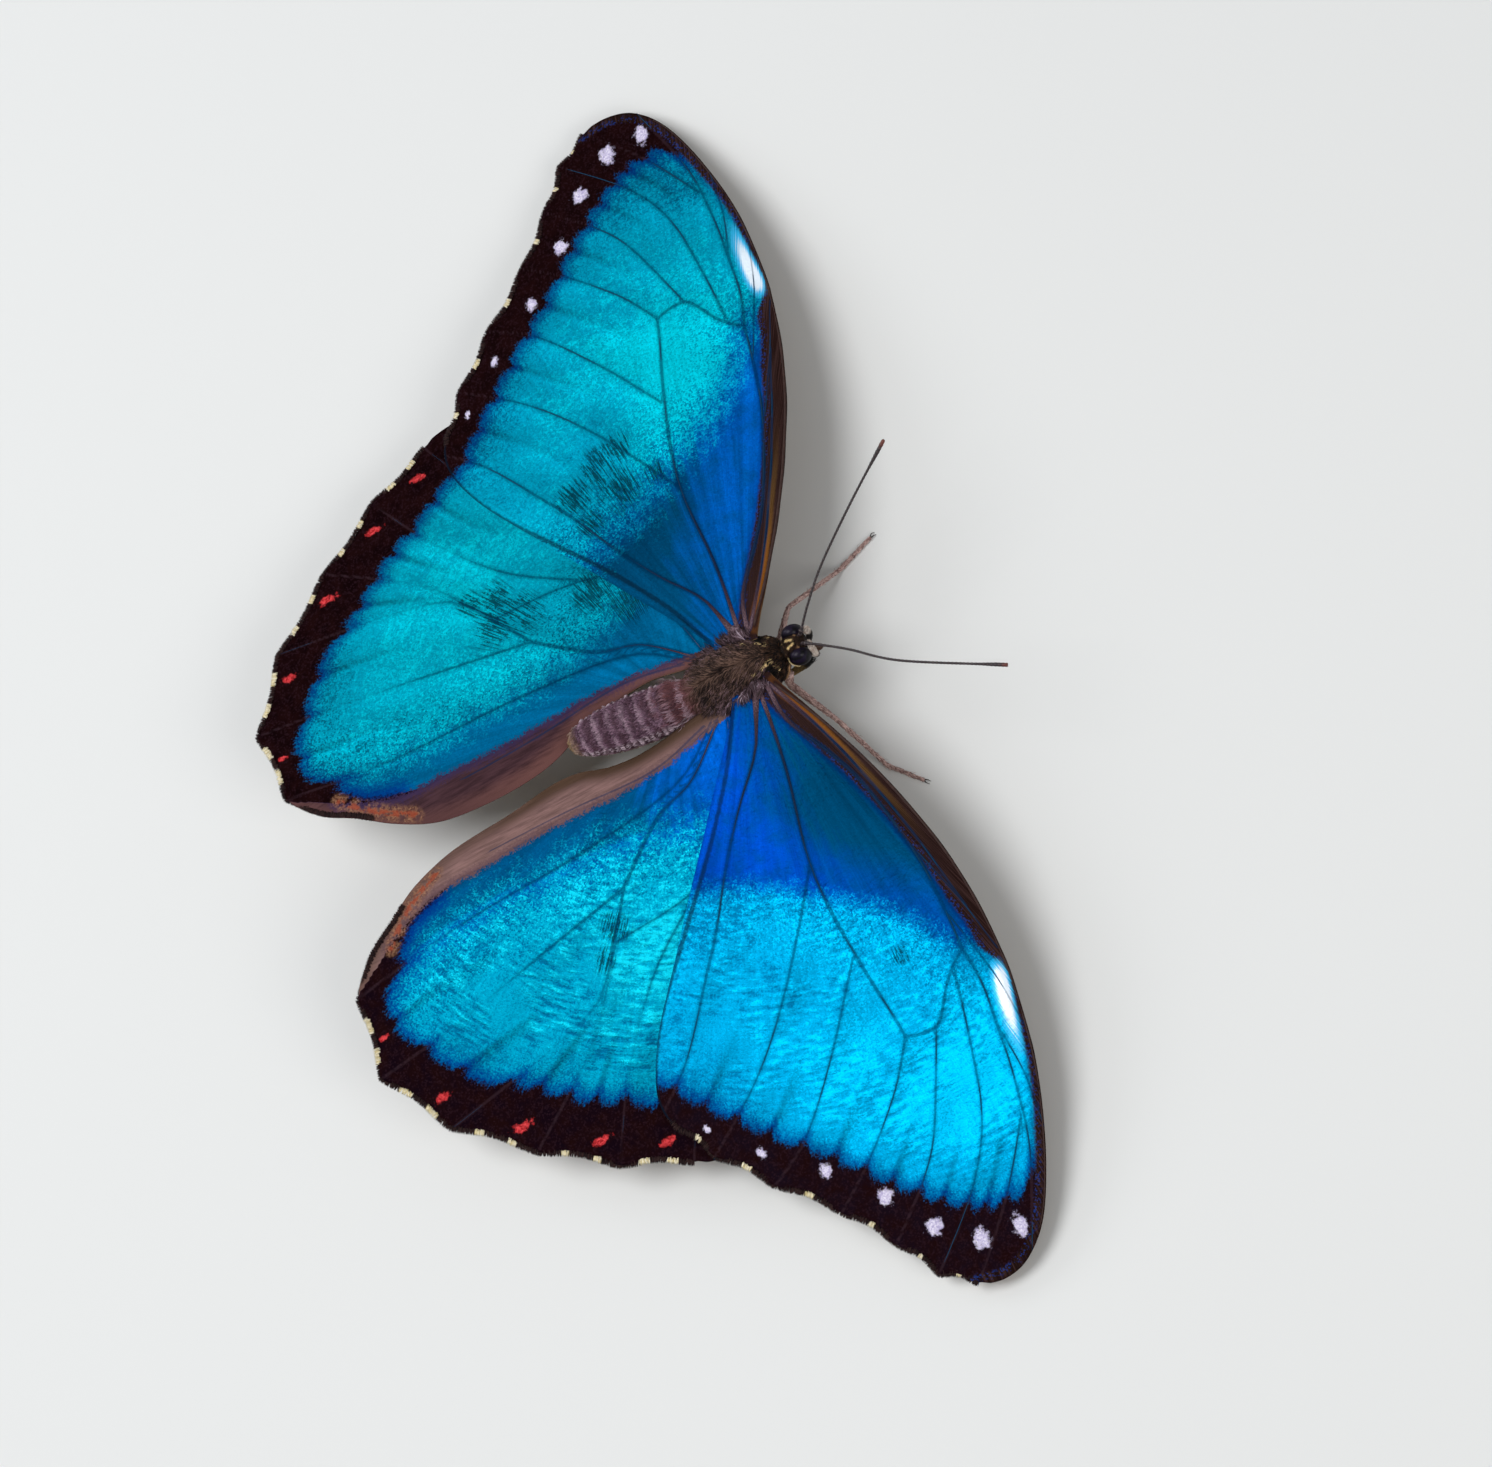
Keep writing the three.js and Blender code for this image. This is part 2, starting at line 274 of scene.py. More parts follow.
def groupMaterial(name, group, values, strength=0.0, depth=0.0, **shader):
    # A surface whose colour, roughness, metal and bump come from a group.
    material = newMaterial(name, **shader)
    tree = material.node_tree
    paint = addNode(tree, "ShaderNodeGroup", node_tree=group)
    for key, value in values.items():
        paint.inputs[key].default_value = value
    outputs = {output.name: Signal(tree, output) for output in paint.outputs}
    dress(material, outputs["Color"], outputs["Height"] if strength else None, strength, depth)
    for key in ("Roughness", "Metallic"):
        if key in outputs:
            outputs[key].into(tree.nodes["Principled BSDF"].inputs[key])
    return material


paintOutputs = ("Color", "Roughness", "Height")


# ---- curves and meshes

def smoothCurve(points, count):
    # Catmull-Rom through the points, sampled evenly.
    points = np.asarray(points, float)
    spans = len(points) - 1
    place = np.linspace(0, spans, spans * 40 + 1)
    i = np.minimum(place.astype(int), spans - 1)
    u = (place - i)[:, None]
    a, b = points[np.maximum(i - 1, 0)], points[i]
    c, d = points[i + 1], points[np.minimum(i + 2, spans)]
    line = 0.5 * (
        2 * b + (c - a) * u + (2 * a - 5 * b + 4 * c - d) * u**2 + (3 * b - a - 3 * c + d) * u**3
    )
    return evenly(line, count)


def lengthsAlong(line):
    return np.concatenate([[0], np.cumsum(np.linalg.norm(np.diff(line, axis=0), axis=1))])


def evenly(line, count):
    at = lengthsAlong(line)
    wanted = np.linspace(0, at[-1], count)
    return np.stack([np.interp(wanted, at, column) for column in line.T], 1)


def ringFaces(rows, columns):
    i = np.arange(rows - 1)[:, None]
    j = np.arange(columns)[None, :]
    after = (j + 1) % columns
    corners = [i * columns + j, (i + 1) * columns + j, (i + 1) * columns + after, i * columns + after]
    return np.stack(np.broadcast_arrays(*corners), -1).reshape(-1, 4)


def flipped(points, faces):
    # Turns a closed part's faces outward.
    volume = 0.0
    for group in faces:
        for k in range(1, group.shape[1] - 1):
            a, b, c = points[group[:, 0]], points[group[:, k]], points[group[:, k + 1]]
            volume += np.einsum("ij,ij->", a, np.cross(b, c))
    return [group[:, ::-1] for group in faces] if volume < 0 else faces


def joined(shapes):
    # Several parts as one: points, faces, and the fields that they carry.
    offset = 0
    whole = {"points": [], "faces": {}, "fields": {}}
    for shape in shapes:
        whole["points"].append(shape["points"])
        for group in flipped(shape["points"], shape["faces"]):
            whole["faces"].setdefault(group.shape[1], []).append(group + offset)
        for key, values in shape.get("fields", {}).items():
            whole["fields"].setdefault(key, []).append(values)
        offset += len(shape["points"])
    return {
        "points": np.concatenate(whole["points"]),
        "faces": [np.concatenate(groups) for groups in whole["faces"].values()],
        "fields": {key: np.concatenate(values) for key, values in whole["fields"].items()},
    }


def addPiece(name, shape, materials, replaces=(), bakeMap=None, faceSlots=None):
    points, faces = shape["points"], shape["faces"]
    data = bpy.data.meshes.new(name)
    corners = np.concatenate([group.ravel() for group in faces]).astype(np.int32)
    widths = np.concatenate([np.full(len(group), group.shape[1]) for group in faces])
    starts = np.concatenate([[0], np.cumsum(widths)[:-1]]).astype(np.int32)
    data.vertices.add(len(points))
    data.vertices.foreach_set("co", ((points + hinge) * mm).astype(np.float32).ravel())
    data.loops.add(len(corners))
    data.loops.foreach_set("vertex_index", corners)
    data.polygons.add(len(starts))
    data.polygons.foreach_set("loop_start", starts)
    if faceSlots is not None:
        data.polygons.foreach_set("material_index", faceSlots.astype(np.int32))
    data.update(calc_edges=True)
    data.polygons.foreach_set("use_smooth", np.ones(len(starts), bool))
    for key, values in shape.get("fields", {}).items():
        vector = values.ndim == 2
        layer = data.attributes.new(key, "FLOAT_VECTOR" if vector else "FLOAT", "POINT")
        layer.data.foreach_set("vector" if vector else "value", values.astype(np.float32).ravel())
    if bakeMap is not None:
        layer = data.uv_layers.new(name="OFBake")
        layer.uv.foreach_set("vector", bakeMap[corners].astype(np.float32).ravel())
    for material in materials:
        data.materials.append(material)
    data.validate()
    piece = bpy.data.objects.new(name, data)
    bpy.context.scene.collection.objects.link(piece)
    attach(piece, "root")
    if replaces:
        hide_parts(*replaces)


def closedRings(rings):
    # Rings of points joined in a row, with a fan of triangles over each end.
    count, around, _ = rings.shape
    j = np.arange(around)
    after = (j + 1) % around
    first, last = count * around, count * around + 1
    far = (count - 1) * around
    caps = [
        np.stack([np.full(around, first), j, after], 1),
        np.stack([np.full(around, last), far + after, far + j], 1),
    ]
    points = np.concatenate([rings.reshape(-1, 3), rings[[0, -1]].mean(1)])
    return {"points": points, "faces": [ringFaces(count, around), np.concatenate(caps)]}


def tube(path, radii, around):
    # A closed tube with its own radius at each point of its path.
    path = np.asarray(path, float)
    radii = np.broadcast_to(radii, len(path))
    ahead = unit(np.gradient(path, axis=0))
    sideways = np.empty_like(path)
    side = np.cross(ahead[0], (0, 0, 1))
    for k, direction in enumerate(ahead):
        side = unit(side - direction * (side @ direction))
        sideways[k] = side
    upright = np.cross(sideways, ahead)
    turn = np.linspace(0, 2 * np.pi, around, endpoint=False)
    spread = np.cos(turn)[:, None] * sideways[:, None] + np.sin(turn)[:, None] * upright[:, None]
    shape = closedRings(path[:, None] + radii[:, None, None] * spread)
    along = np.repeat(lengthsAlong(path), around)
    place = np.stack([along, np.tile(np.cos(turn), len(path)), np.tile(np.sin(turn), len(path))], 1)
    ends = np.array([[0, 0, 0], [along[-1], 0, 0]])
    return {**shape, "fields": {"place": np.concatenate([place, ends])}}


def tufts(roots, lies, normals, lengths, widths, droop=0.0, thickness=0.4, sink=0.15):
    # Closed bent spikes: a three-sided foot, a three-sided middle and a point, seven corners each.
    lies, normals = unit(lies), unit(normals)
    across = unit(np.cross(lies, normals))
    above = np.cross(across, lies)
    reach = lies * lengths[:, None]
    foot = roots - reach * sink
    middle = roots + reach * 0.5 + above * (droop * lengths * 0.25)[:, None]
    tip = roots + reach - above * (droop * lengths * 0.5)[:, None]
    half = widths[:, None] / 2
    corners = []
    for centre, share in ((foot, 0.75), (middle, 1.0)):
        corners += [centre + across * half * share, centre - across * half * share,
                    centre + above * half * share * 2 * thickness]
    points = np.stack([*corners, tip], 1).reshape(-1, 3)
    base = np.arange(len(roots))[:, None] * 7
    sideFaces = np.array([[0, 3, 4, 1], [1, 4, 5, 2], [2, 5, 3, 0]])
    endFaces = np.array([[0, 1, 2], [3, 6, 4], [4, 6, 5], [5, 6, 3]])
    return {
        "points": points,
        "faces": [
            (base[:, :, None] + sideFaces[None]).reshape(-1, 4),
            (base[:, :, None] + endFaces[None]).reshape(-1, 3),
        ],
    }


def tuftMap(rootMap):
    # Each tuft is a patch 0.003 across at its root's place on the unwrap.
    turn = np.radians([90, 210, 330])
    ring = np.stack([np.cos(turn), np.sin(turn)], 1)
    pattern = np.concatenate([ring * 0.0015, ring * 0.0008, [[0, 0]]])
    inside = np.clip(rootMap, 0.004, 0.996)
    return (inside[:, None] + pattern[None]).reshape(-1, 2)


def perTuft(values):
    return np.repeat(values, 7, axis=0)


def tinted(rng, shape, place):
    # Each tuft keeps the place of its root and gets a tint of its own.
    shape["fields"] = {"place": perTuft(place), "tint": perTuft(rng.uniform(0, 1, len(place)))}
    return shape


def mirrored(points, sign):
    # Points given for the left side, placed on the side of the sign.
    sign = np.asarray(sign)
    return np.asarray(points) * np.stack([sign, np.ones_like(sign), np.ones_like(sign)], -1)


def draws(rng, count, *ranges):
    # A row of even random values for each range.
    return [rng.uniform(low, high, count) for low, high in ranges]


def addPlain(name, shapes, material, nodes=()):
    # Limbs and horn have one even tint.
    shape = joined(shapes)
    shape["fields"]["tint"] = np.full(len(shape["points"]), 0.5)
    addPiece(name, shape, [material], nodes)


def softStep(value, low, high):
    t = np.clip((value - low) / (high - low), 0, 1)
    return t * t * (3 - 2 * t)


def bump(value, width):
    return np.exp(-((value / width) ** 2))


# ---- wings

forewing = {
    "costa": [
        (0.5, 1.2), (6.7, 4.8), (14.7, 8.4), (24, 11.2), (34, 12.2), (44, 11.1),
        (52, 8.6), (57.5, 5.9), (60.5, 3), (61.5, 0), (61.1, -3),
    ],
    "veinEnds": [
        (61.1, -3), (58.8, -6.3), (54.6, -9.1), (49.7, -13), (44.7, -18.3), (39.8, -22.8), (35.6, -25.4),
    ],
    "inner": [
        (35.6, -25.4), (32.2, -25.8), (28.5, -24.4), (24, -21.4), (18.7, -16.8), (12.5, -11.4),
        (6, -6.6), (0.5, -3.6),
    ],
    "root": {"left": [(-0.8, 1.0), (-0.8, -3.2)], "right": [(-0.8, 1.0), (-0.8, -3.2)]},
    "innerShift": {"left": 0, "right": 0},
    "rays": 360,
    "steps": 125,
    "setBack": 0.0,
    "swing": {"left": -0.6, "right": 0.5},
    # the blue ends along this line; its basal part is painted deep blue up to the next one, a painted
    # reflection of the iridescent scales at this angle
    "blueEdge": [
        (30.8, -25.6), (33.2, -23.4), (35.6, -21.2), (40.6, -16.2), (44.9, -11.3), (49.9, -6.4),
        (53.7, -1.7), (55.2, 1.4), (55.0, 4.9), (53, 8.4),
    ],
    "deepEdge": [
        (31.5, 10.8), (30.6, 7.6), (27.3, 4.8), (24.3, 1.6), (21.4, -3), (18.6, -7), (16.8, -11),
        (15.8, -15),
    ],
    "deepWidth": {"left": 6.5, "right": 3.0},
    "shadeFrom": {"left": (3, -5), "right": (-6, 1.5)},
    "foldEdge": None,
    "orange": {"line": [(0.9, 0.6), (7.1, 4.1), (12.0, 6.5), (16, 8.0)], "reach": 0.34},
    "paleSpots": [
        (57.5, 3.3, 1.0, 0.7), (57.2, -0.75, 0.95, 0.8), (54.3, -4.7, 0.8, 0.78),
        (49.8, -8.1, 0.78, 0.72),
        (45.2, -12.7, 0.66, 0.62), (41.1, -18.1, 0.52, 0.48), (36.8, -22.3, 0.42, 0.36),
    ],
    "redSpots": [],
    "ocelli": [(48.2, 0.9, 2.3), (42.2, -7.6, 2.6), (36.6, -12.6, 2.2)],
    "creamMarks": [0.5],
    # width of the dark front band, and how it changes: amount, from x, to x
    "frontBand": (1.9, [(0.6, 0, 6), (-0.5, 26, 31), (-1.2, 31.5, 34.5), (0.25, 44, 52)]),
    # white patch in the front band: half lengths inward and outward, half widths behind and ahead
    "frontPatch": {"middle": (36.2, 11.0), "slope": 0.14, "lengths": (2.3, 6.4), "widths": (1.15, 0.8)},
    "scuffs": {
        "left": [
            (24.5, -10, 2.2), (21, -8.6, 2.4), (22.5, -13.6, 2.0), (25.5, -7.8, 1.6), (19, -12.5, 1.5),
            (21, -4.6, 1.2),
        ],
        "right": [(29.5, 2.6, 0.9)],
    },
    # painted highlights and shade, as lighter and darker places: x, y, radius, amount
    "paintedLight": {
        "left": [
            (31, 2.5, 8, 0.42), (38, -6, 9, 0.2), (50, 5, 7, -0.16), (18, -9, 6, -0.3),
            (32, 8.5, 2, -0.6), (22, 6, 6, 0.25),
        ],
        "right": [
            (45, 5, 10, 0.4), (33, 3, 5, -0.08), (40, -8, 8, 0.26), (52, 0, 5, -0.1), (32, 8.5, 2, -0.6),
            (17, -13, 5, -0.3), (28, -19, 7, -0.1), (12, 5, 8, -0.3),
        ],
    },
    # half width at the root, half width at the end, route
    "veins": {
        "radius": (
            0.24, 0.14, [(0.2, 0.3), (4.3, 0.9), (9, 3.7), (13.8, 5.9), (22.7, 8.1), (31.3, 8.6)],
        ),
        "cubitus": (
            0.22, 0.13,
            [
                (0.2, -0.6), (4, -0.7), (9.3, -1.1), (17.2, -2.3), (23, -2.2), (28.9, -1.4), (35, -0.3),
                (36.9, 0),
            ],
        ),
        "subcosta": (0.2, 0.08, [(0.4, 0.6), (8, 4.4), (18, 8.0), (28, 10.6)]),
        "crossVein": (
            0.13, 0.12, [(36.9, 0), (37.3, 1.7), (37, 3.6), (34.2, 5.7), (32.6, 7.2), (31.6, 8.6)],
        ),
        "radiusOne": (0.1, 0.06, [(20, 7.6), (27, 10.2), (33, 11.9)]),
        "radiusTwo": (0.1, 0.06, [(28, 8.6), (35, 10.6), (41, 11.5)]),
        "radiusThree": (0.1, 0.06, [(40, 9), (45, 9.6), (50, 9.3)]),
        "radiusFour": (0.13, 0.07, [(31.3, 8.6), (36, 9.1), (46, 8.3), (52.4, 6.8), (60.2, 3.4)]),
        "radiusFive": (0.1, 0.07, [(48, 7.8), (55, 2.8), (61.1, -3)]),
        "mediaOne": (0.11, 0.07, [(33.4, 7.0), (45.3, 4.5), (52, 0.8), (58.8, -6.3)]),
        "mediaTwo": (0.11, 0.07, [(37.2, 3.2), (45.6, -0.7), (49.9, -3.9), (54.6, -9.1)]),
        "mediaThree": (0.11, 0.07, [(36.9, 0), (41.2, -3.2), (46.1, -8.2), (49.7, -13)]),
        "cubitusOne": (0.11, 0.07, [(28, -2.0), (34.7, -7), (41.6, -13.2), (44.7, -18.3)]),
        "cubitusTwo": (0.12, 0.07, [(18, -2.35), (27.5, -9.1), (34.5, -15.6), (39.8, -22.8)]),
        "anal": (0.2, 0.07, [
            (0.5, -1.0), (2.5, -1.8), (5.5, -3.1), (8, -5.1), (10, -6.9), (15, -10.6), (20, -13.8),
            (24, -16.8), (30.1, -21.6), (33.5, -25.5),
        ]),
    },
    "thickAtRoot": {"anal": 0.3, "cubitus": 0.1, "radius": 0.06},
    "marginVeins": [
        "radiusFive", "mediaOne", "mediaTwo", "mediaThree", "cubitusOne", "cubitusTwo", "anal",
    ],
}
hindwing = {
    "costa": [
        (1, 0.4), (3.4, 3.3), (9, 4.6), (17, 3.2), (25, -1.5), (32, -7.6), (36.8, -13.6), (38.6, -18.5),
        (38, -22.5),
    ],
    "veinEnds": [(38, -22.5), (35.1, -29.5), (30.2, -36.8), (24.2, -44), (16.7, -48.5), (8.6, -47.4)],
    "inner": [
        (8.6, -47.4), (5.2, -44.2), (3.1, -40.7), (0.8, -37.2), (-0.9, -33), (-1.5, -27.5),
        (-1.5, -21.5), (-0.8, -17.6), (0.4, -14.8),
    ],
    "root": {
        "left": [(-0.4, 0.2), (0.2, -3), (1.1, -7.5), (0.8, -14.8)],
        "right": [(-0.5, 0.2), (-0.5, -3), (-0.3, -7.5), (-0.5, -12), (-1.0, -14.8)],
    },
    "innerShift": {"left": 0.4, "right": -1.4},
    "rays": 350,
    "steps": 110,
    "setBack": 4.6,
    "swing": {"left": 1.9, "right": -1.9},
    "blueEdge": [
        (3.2, -35.4), (4.4, -38.9), (7.3, -42), (9.6, -44.4), (12.4, -44.9), (14.8, -43.9),
        (19.2, -40.9), (22.2, -38),
        (24.4, -34.4), (27.9, -30), (30, -25.8), (32.2, -22.4), (33.8, -18), (34.6, -13.5),
    ],
    # painted reflection: the deep blue toward the body ends along this line
    "deepEdge": [
        (13, 4), (11.8, -3), (9.6, -8), (7.6, -13), (7, -18), (6.8, -24), (6.4, -30), (6.8, -36.4),
        (7.6, -40), (8.8, -43.5),
    ],
    "deepWidth": {"left": 5.0, "right": 6.5},
    "shadeFrom": {"left": (-7, -16), "right": (-6, -13)},
    "foldEdge": [
        (5.6, -42), (4.2, -39.2), (3.1, -35.4), (2.9, -30), (2.6, -24), (2.7, -18), (2.8, -13),
        (2.5, -8), (1.7, -3.5),
    ],
    "orange": {
        "line": [(5.6, -41.8), (4.5, -40.6), (2.9, -38.6), (1.5, -36.4), (0.7, -34.8)], "reach": 0.42,
    },
    "paleSpots": [],
    "redSpots": [
        (34.8, -23.9, 0.42, 1.05), (31.8, -30, 0.45, 1.15), (27.1, -36.9, 0.5, 1.2),
        (21, -43.2, 0.45, 1.0), (13.1, -46.3, 0.3, 0.75),
    ],
    "ocelli": [(24.0, -6.4, 3.2), (27.2, -24.6, 2.1), (23.2, -30.6, 2.5), (18.4, -36.0, 2.5)],
    "creamMarks": [0.29, 0.66],
    "frontBand": (0, [(2.6, 2, 8), (-4.0, 22, 29)]),
    "frontPatch": None,
    "scuffs": {
        "left": [
            (15, -20.5, 2.4), (14.5, -17, 2.2), (17.5, -19.5, 1.9), (18.3, -22.3, 1.4), (13, -9.5, 2.2),
            (10, -6, 2.2),
        ],
        "right": [(14.2, -19.6, 1.5), (16.5, -22, 1.2)],
    },
    # painted highlights and shade, as lighter and darker places: x, y, radius, amount
    "paintedLight": {
        "left": [(22, -25, 10, 0.25), (14, -33, 8, 0.08), (11, -9, 7, -0.22), (28, -22, 6, 0.05)],
        "right": [(18.5, -15.5, 5, 0.4), (14, -30, 10, -0.04), (8, -9, 7, -0.15), (22, -30, 7, -0.05)],
    },
    "veins": {
        "stem": (0.22, 0.14, [(1, -1.6), (4.9, -6.3), (6.7, -11.2), (11.2, -17.2)]),
        "radius": (0.18, 0.12, [(1.5, -0.6), (7, -2.6), (13.4, -6)]),
        "cubitusTwo": (
            0.12, 0.06, [(11.2, -17.2), (12.7, -25.1), (14, -31.7), (15.6, -40.4), (16.7, -48.5)],
        ),
        "cubitusOne": (
            0.13, 0.06,
            [(11.2, -17.2), (15, -20), (19.7, -24.1), (21.5, -29.4), (22.4, -33.6), (24.2, -44)],
        ),
        "mediaThree": (0.1, 0.06, [(15.5, -20.2), (23, -26.5), (30.2, -36.8)]),
        "mediaTwo": (0.11, 0.06, [(14.8, -10.4), (20, -18), (28, -25), (35.1, -29.5)]),
        "mediaOne": (0.12, 0.07, [(13.6, -6), (24, -13.5), (32, -19), (38, -22.5)]),
        "crossVein": (0.08, 0.08, [(13.4, -6), (14.6, -10.4), (15.2, -14.4), (15.5, -20.2)]),
        "subcosta": (0.16, 0.08, [(1.2, 0), (8, 1.4), (17, 0.4), (25, -4), (33, -11), (37.6, -17)]),
        "secondAnal": (0.11, 0.06, [(0.8, -2.2), (4.6, -8), (6.2, -20), (6.8, -34), (8.6, -47.4)]),
        "thirdAnal": (0.1, 0.06, [(0.8, -3), (2.2, -10), (1.6, -20), (1.4, -32)]),
    },
    "marginVeins": ["mediaOne", "mediaTwo", "mediaThree", "cubitusOne", "cubitusTwo", "secondAnal"],
}
innerFold = {"depth": 2.4, "width": 6.5}
membrane = {
    "halfAtRoot": 0.13, "halfAtEdge": 0.05, "sag": 0.14, "pleat": 0.07, "scallop": 0.45, "fringe": 0.3,
}


def forewingHeight(x, y):
    return -0.14 * x - 0.00055 * x * x


def hindwingHeight(x, y):
    across = np.clip(1 - (x + 1.5) / innerFold["width"], 0, 1)
    alongFold = softStep(-y, 3, 12) * (1 - softStep(-y, 34, 46))
    return -1.1 - 0.13 * x - 0.0014 * x * x - innerFold["depth"] * across**2 * alongFold


forewing["height"], hindwing["height"] = forewingHeight, hindwingHeight


def placeWing(wing, side, plan, height):
    turn = math.radians(wing["swing"][side])
    outward = plan[:, 0] * math.cos(turn) + plan[:, 1] * math.sin(turn)
    backward = plan[:, 0] * math.sin(turn) - plan[:, 1] * math.cos(turn)
    return np.stack([sides[side] * (hingeHalfWidth + outward), wing["setBack"] + backward, height], 1)


def outerEdge(wing):
    # The edge dips in softly between one vein end and the next.
    ends = np.array(wing["veinEnds"], float)
    t = np.linspace(0, 1, 25)[:-1, None]
    dip = membrane["scallop"] * (1 - np.cos(2 * np.pi * t)) / 2
    edge = []
    for start, end in zip(ends[:-1], ends[1:]):
        inward = unit([end[1] - start[1], start[0] - end[0]])
        edge.append(start + (end - start) * t + inward * dip)
    return np.concatenate([*edge, ends[-1:]])


def wingOutline(wing):
    costa, inner = smoothCurve(wing["costa"], 160), smoothCurve(wing["inner"], 160)
    return np.concatenate([costa[:-1], outerEdge(wing), inner[1:]])


def toLine(points, line):
    # How far each point is from a line, on which side of it, and how far along.
    nearest = np.full(len(points), np.inf)
    side, along = np.zeros(len(points)), np.zeros(len(points))
    for k, (start, end) in enumerate(zip(line[:-1], line[1:])):
        step = end - start
        offset = points - start
        t = np.clip(offset @ step / (step @ step), 0, 1)
        gap = np.hypot(*(offset - t[:, None] * step).T)
        closer = gap < nearest
        nearest[closer] = gap[closer]
        side[closer] = np.sign(step[0] * offset[:, 1] - step[1] * offset[:, 0])[closer]
        along[closer] = (k + t)[closer]
    return nearest, side, along / (len(line) - 1)


def veinRoutes(wing):
    return {
        name: (start, end, smoothCurve(route, 26)) for name, (start, end, route) in wing["veins"].items()
    }


def pleatLines(wing, routes):
    # Between two neighbouring veins a faint fold runs in from the margin.
    lines = []
    for one, other in zip(wing["marginVeins"][:-1], wing["marginVeins"][1:]):
        pair = []
        for name in (one, other):
            route = routes[name][2][::-1]
            at = lengthsAlong(route)
            wanted = np.minimum(np.linspace(0, 15, 9), at[-1])
            pair.append(np.stack([np.interp(wanted, at, column) for column in route.T], 1))
        lines.append((pair[0] + pair[1]) / 2)
    return lines


def nearestMark(points, marks):
    # Distance to the nearest oval mark, 1 at its rim.
    found = np.full(len(points), 9.0)
    for x, y, wide, tall in marks:
        found = np.minimum(found, np.hypot((points[:, 0] - x) / wide, (points[:, 1] - y) / tall))
    return found


def besideLine(points, line):
    # Distance from a line, positive to its left.
    gap, side, _ = toLine(points, smoothCurve(line, 48))
    return gap * np.where(side == 0, 1, side)


def wingFields(wing, plan, reach, across):
    routes = veinRoutes(wing)
    signed, nearest = np.full(len(plan), 9.0), np.full(len(plan), 99.0)
    for start, end, route in routes.values():
        gap, side, along = toLine(plan, route)
        closer = gap < nearest
        nearest[closer] = gap[closer]
        width = start + (end - start) * along
        signed[closer] = (gap * np.where(side == 0, 1, side) / width)[closer]
    pleat = np.full(len(plan), 9.0)
    for line in pleatLines(wing, routes):
        pleat = np.minimum(pleat, toLine(plan, line)[0])
    outer, _, along = toLine(plan, np.array(wing["veinEnds"], float))
    costa = toLine(plan, smoothCurve(wing["costa"], 60))[0]
    x, y = plan.T
    band, changes = wing["frontBand"]
    for amount, start, end in changes:
        band = band + amount * softStep(x, start, end)
    fold, veinShow = np.full(len(plan), -50.0), np.ones(len(plan))
    if wing["foldEdge"]:
        fold = besideLine(plan, wing["foldEdge"])
        veinShow = 1 - 0.8 * softStep(reach, 22, 30)
    inner = toLine(plan, smoothCurve(wing["inner"], 60))[0]
    cell = (along * (len(wing["veinEnds"]) - 1)) % 1
    cellLength = np.linalg.norm(np.diff(wing["veinEnds"], axis=0), axis=1).mean()
    cream = np.min([np.abs(cell - mark) for mark in wing["creamMarks"]], axis=0) * cellLength
    orange = toLine(plan, smoothCurve(wing["orange"]["line"], 24))[0] / wing["orange"]["reach"]
    pale, red = (nearestMark(plan, wing[key]) for key in ("paleSpots", "redSpots"))
    ocellus = nearestMark(plan, [(x0, y0, r * 0.88, r) for x0, y0, r in wing["ocelli"]])
    return {
        "plan": np.stack([x, y, np.zeros(len(plan))], 1),
        "flow": np.stack([reach, across, veinShow], 1),
        "veins": np.stack([signed, nearest, pleat], 1),
        "edges": np.stack([besideLine(plan, wing["blueEdge"]), costa, band], 1),
        "zones": np.stack([besideLine(plan, wing["deepEdge"]), fold, inner], 1),
        "rim": np.stack([outer, cream, orange], 1),
        "spots": np.stack([pale, red, ocellus], 1),
    }


def wingMarksAndLight(wing, side, fields):
    # The white patch of a front edge, the scuffs, and the painted highlights and shade.
    x, y, _ = fields["plan"].T
    patch, scuff, paintedLight = np.full(len(x), 9.0), np.zeros(len(x)), np.full(len(x), 0.5)
    if wing["frontPatch"]:
        form = wing["frontPatch"]
        outward, upward = x - form["middle"][0], y - form["middle"][1]
        upward = upward + form["slope"] * outward
        halves = [
            np.where(gap > 0, ahead, behind)
            for gap, (behind, ahead) in ((outward, form["lengths"]), (upward, form["widths"]))
        ]
        patch = np.hypot(outward / halves[0], upward / halves[1])
    for x0, y0, radius in wing["scuffs"][side]:
        scuff = np.maximum(scuff, bump(np.hypot(x - x0, y - y0), radius))
    for x0, y0, radius, amount in wing["paintedLight"][side]:
        paintedLight += amount * bump(np.hypot(x - x0, y - y0), radius)
    return np.stack([paintedLight, patch, scuff], 1)


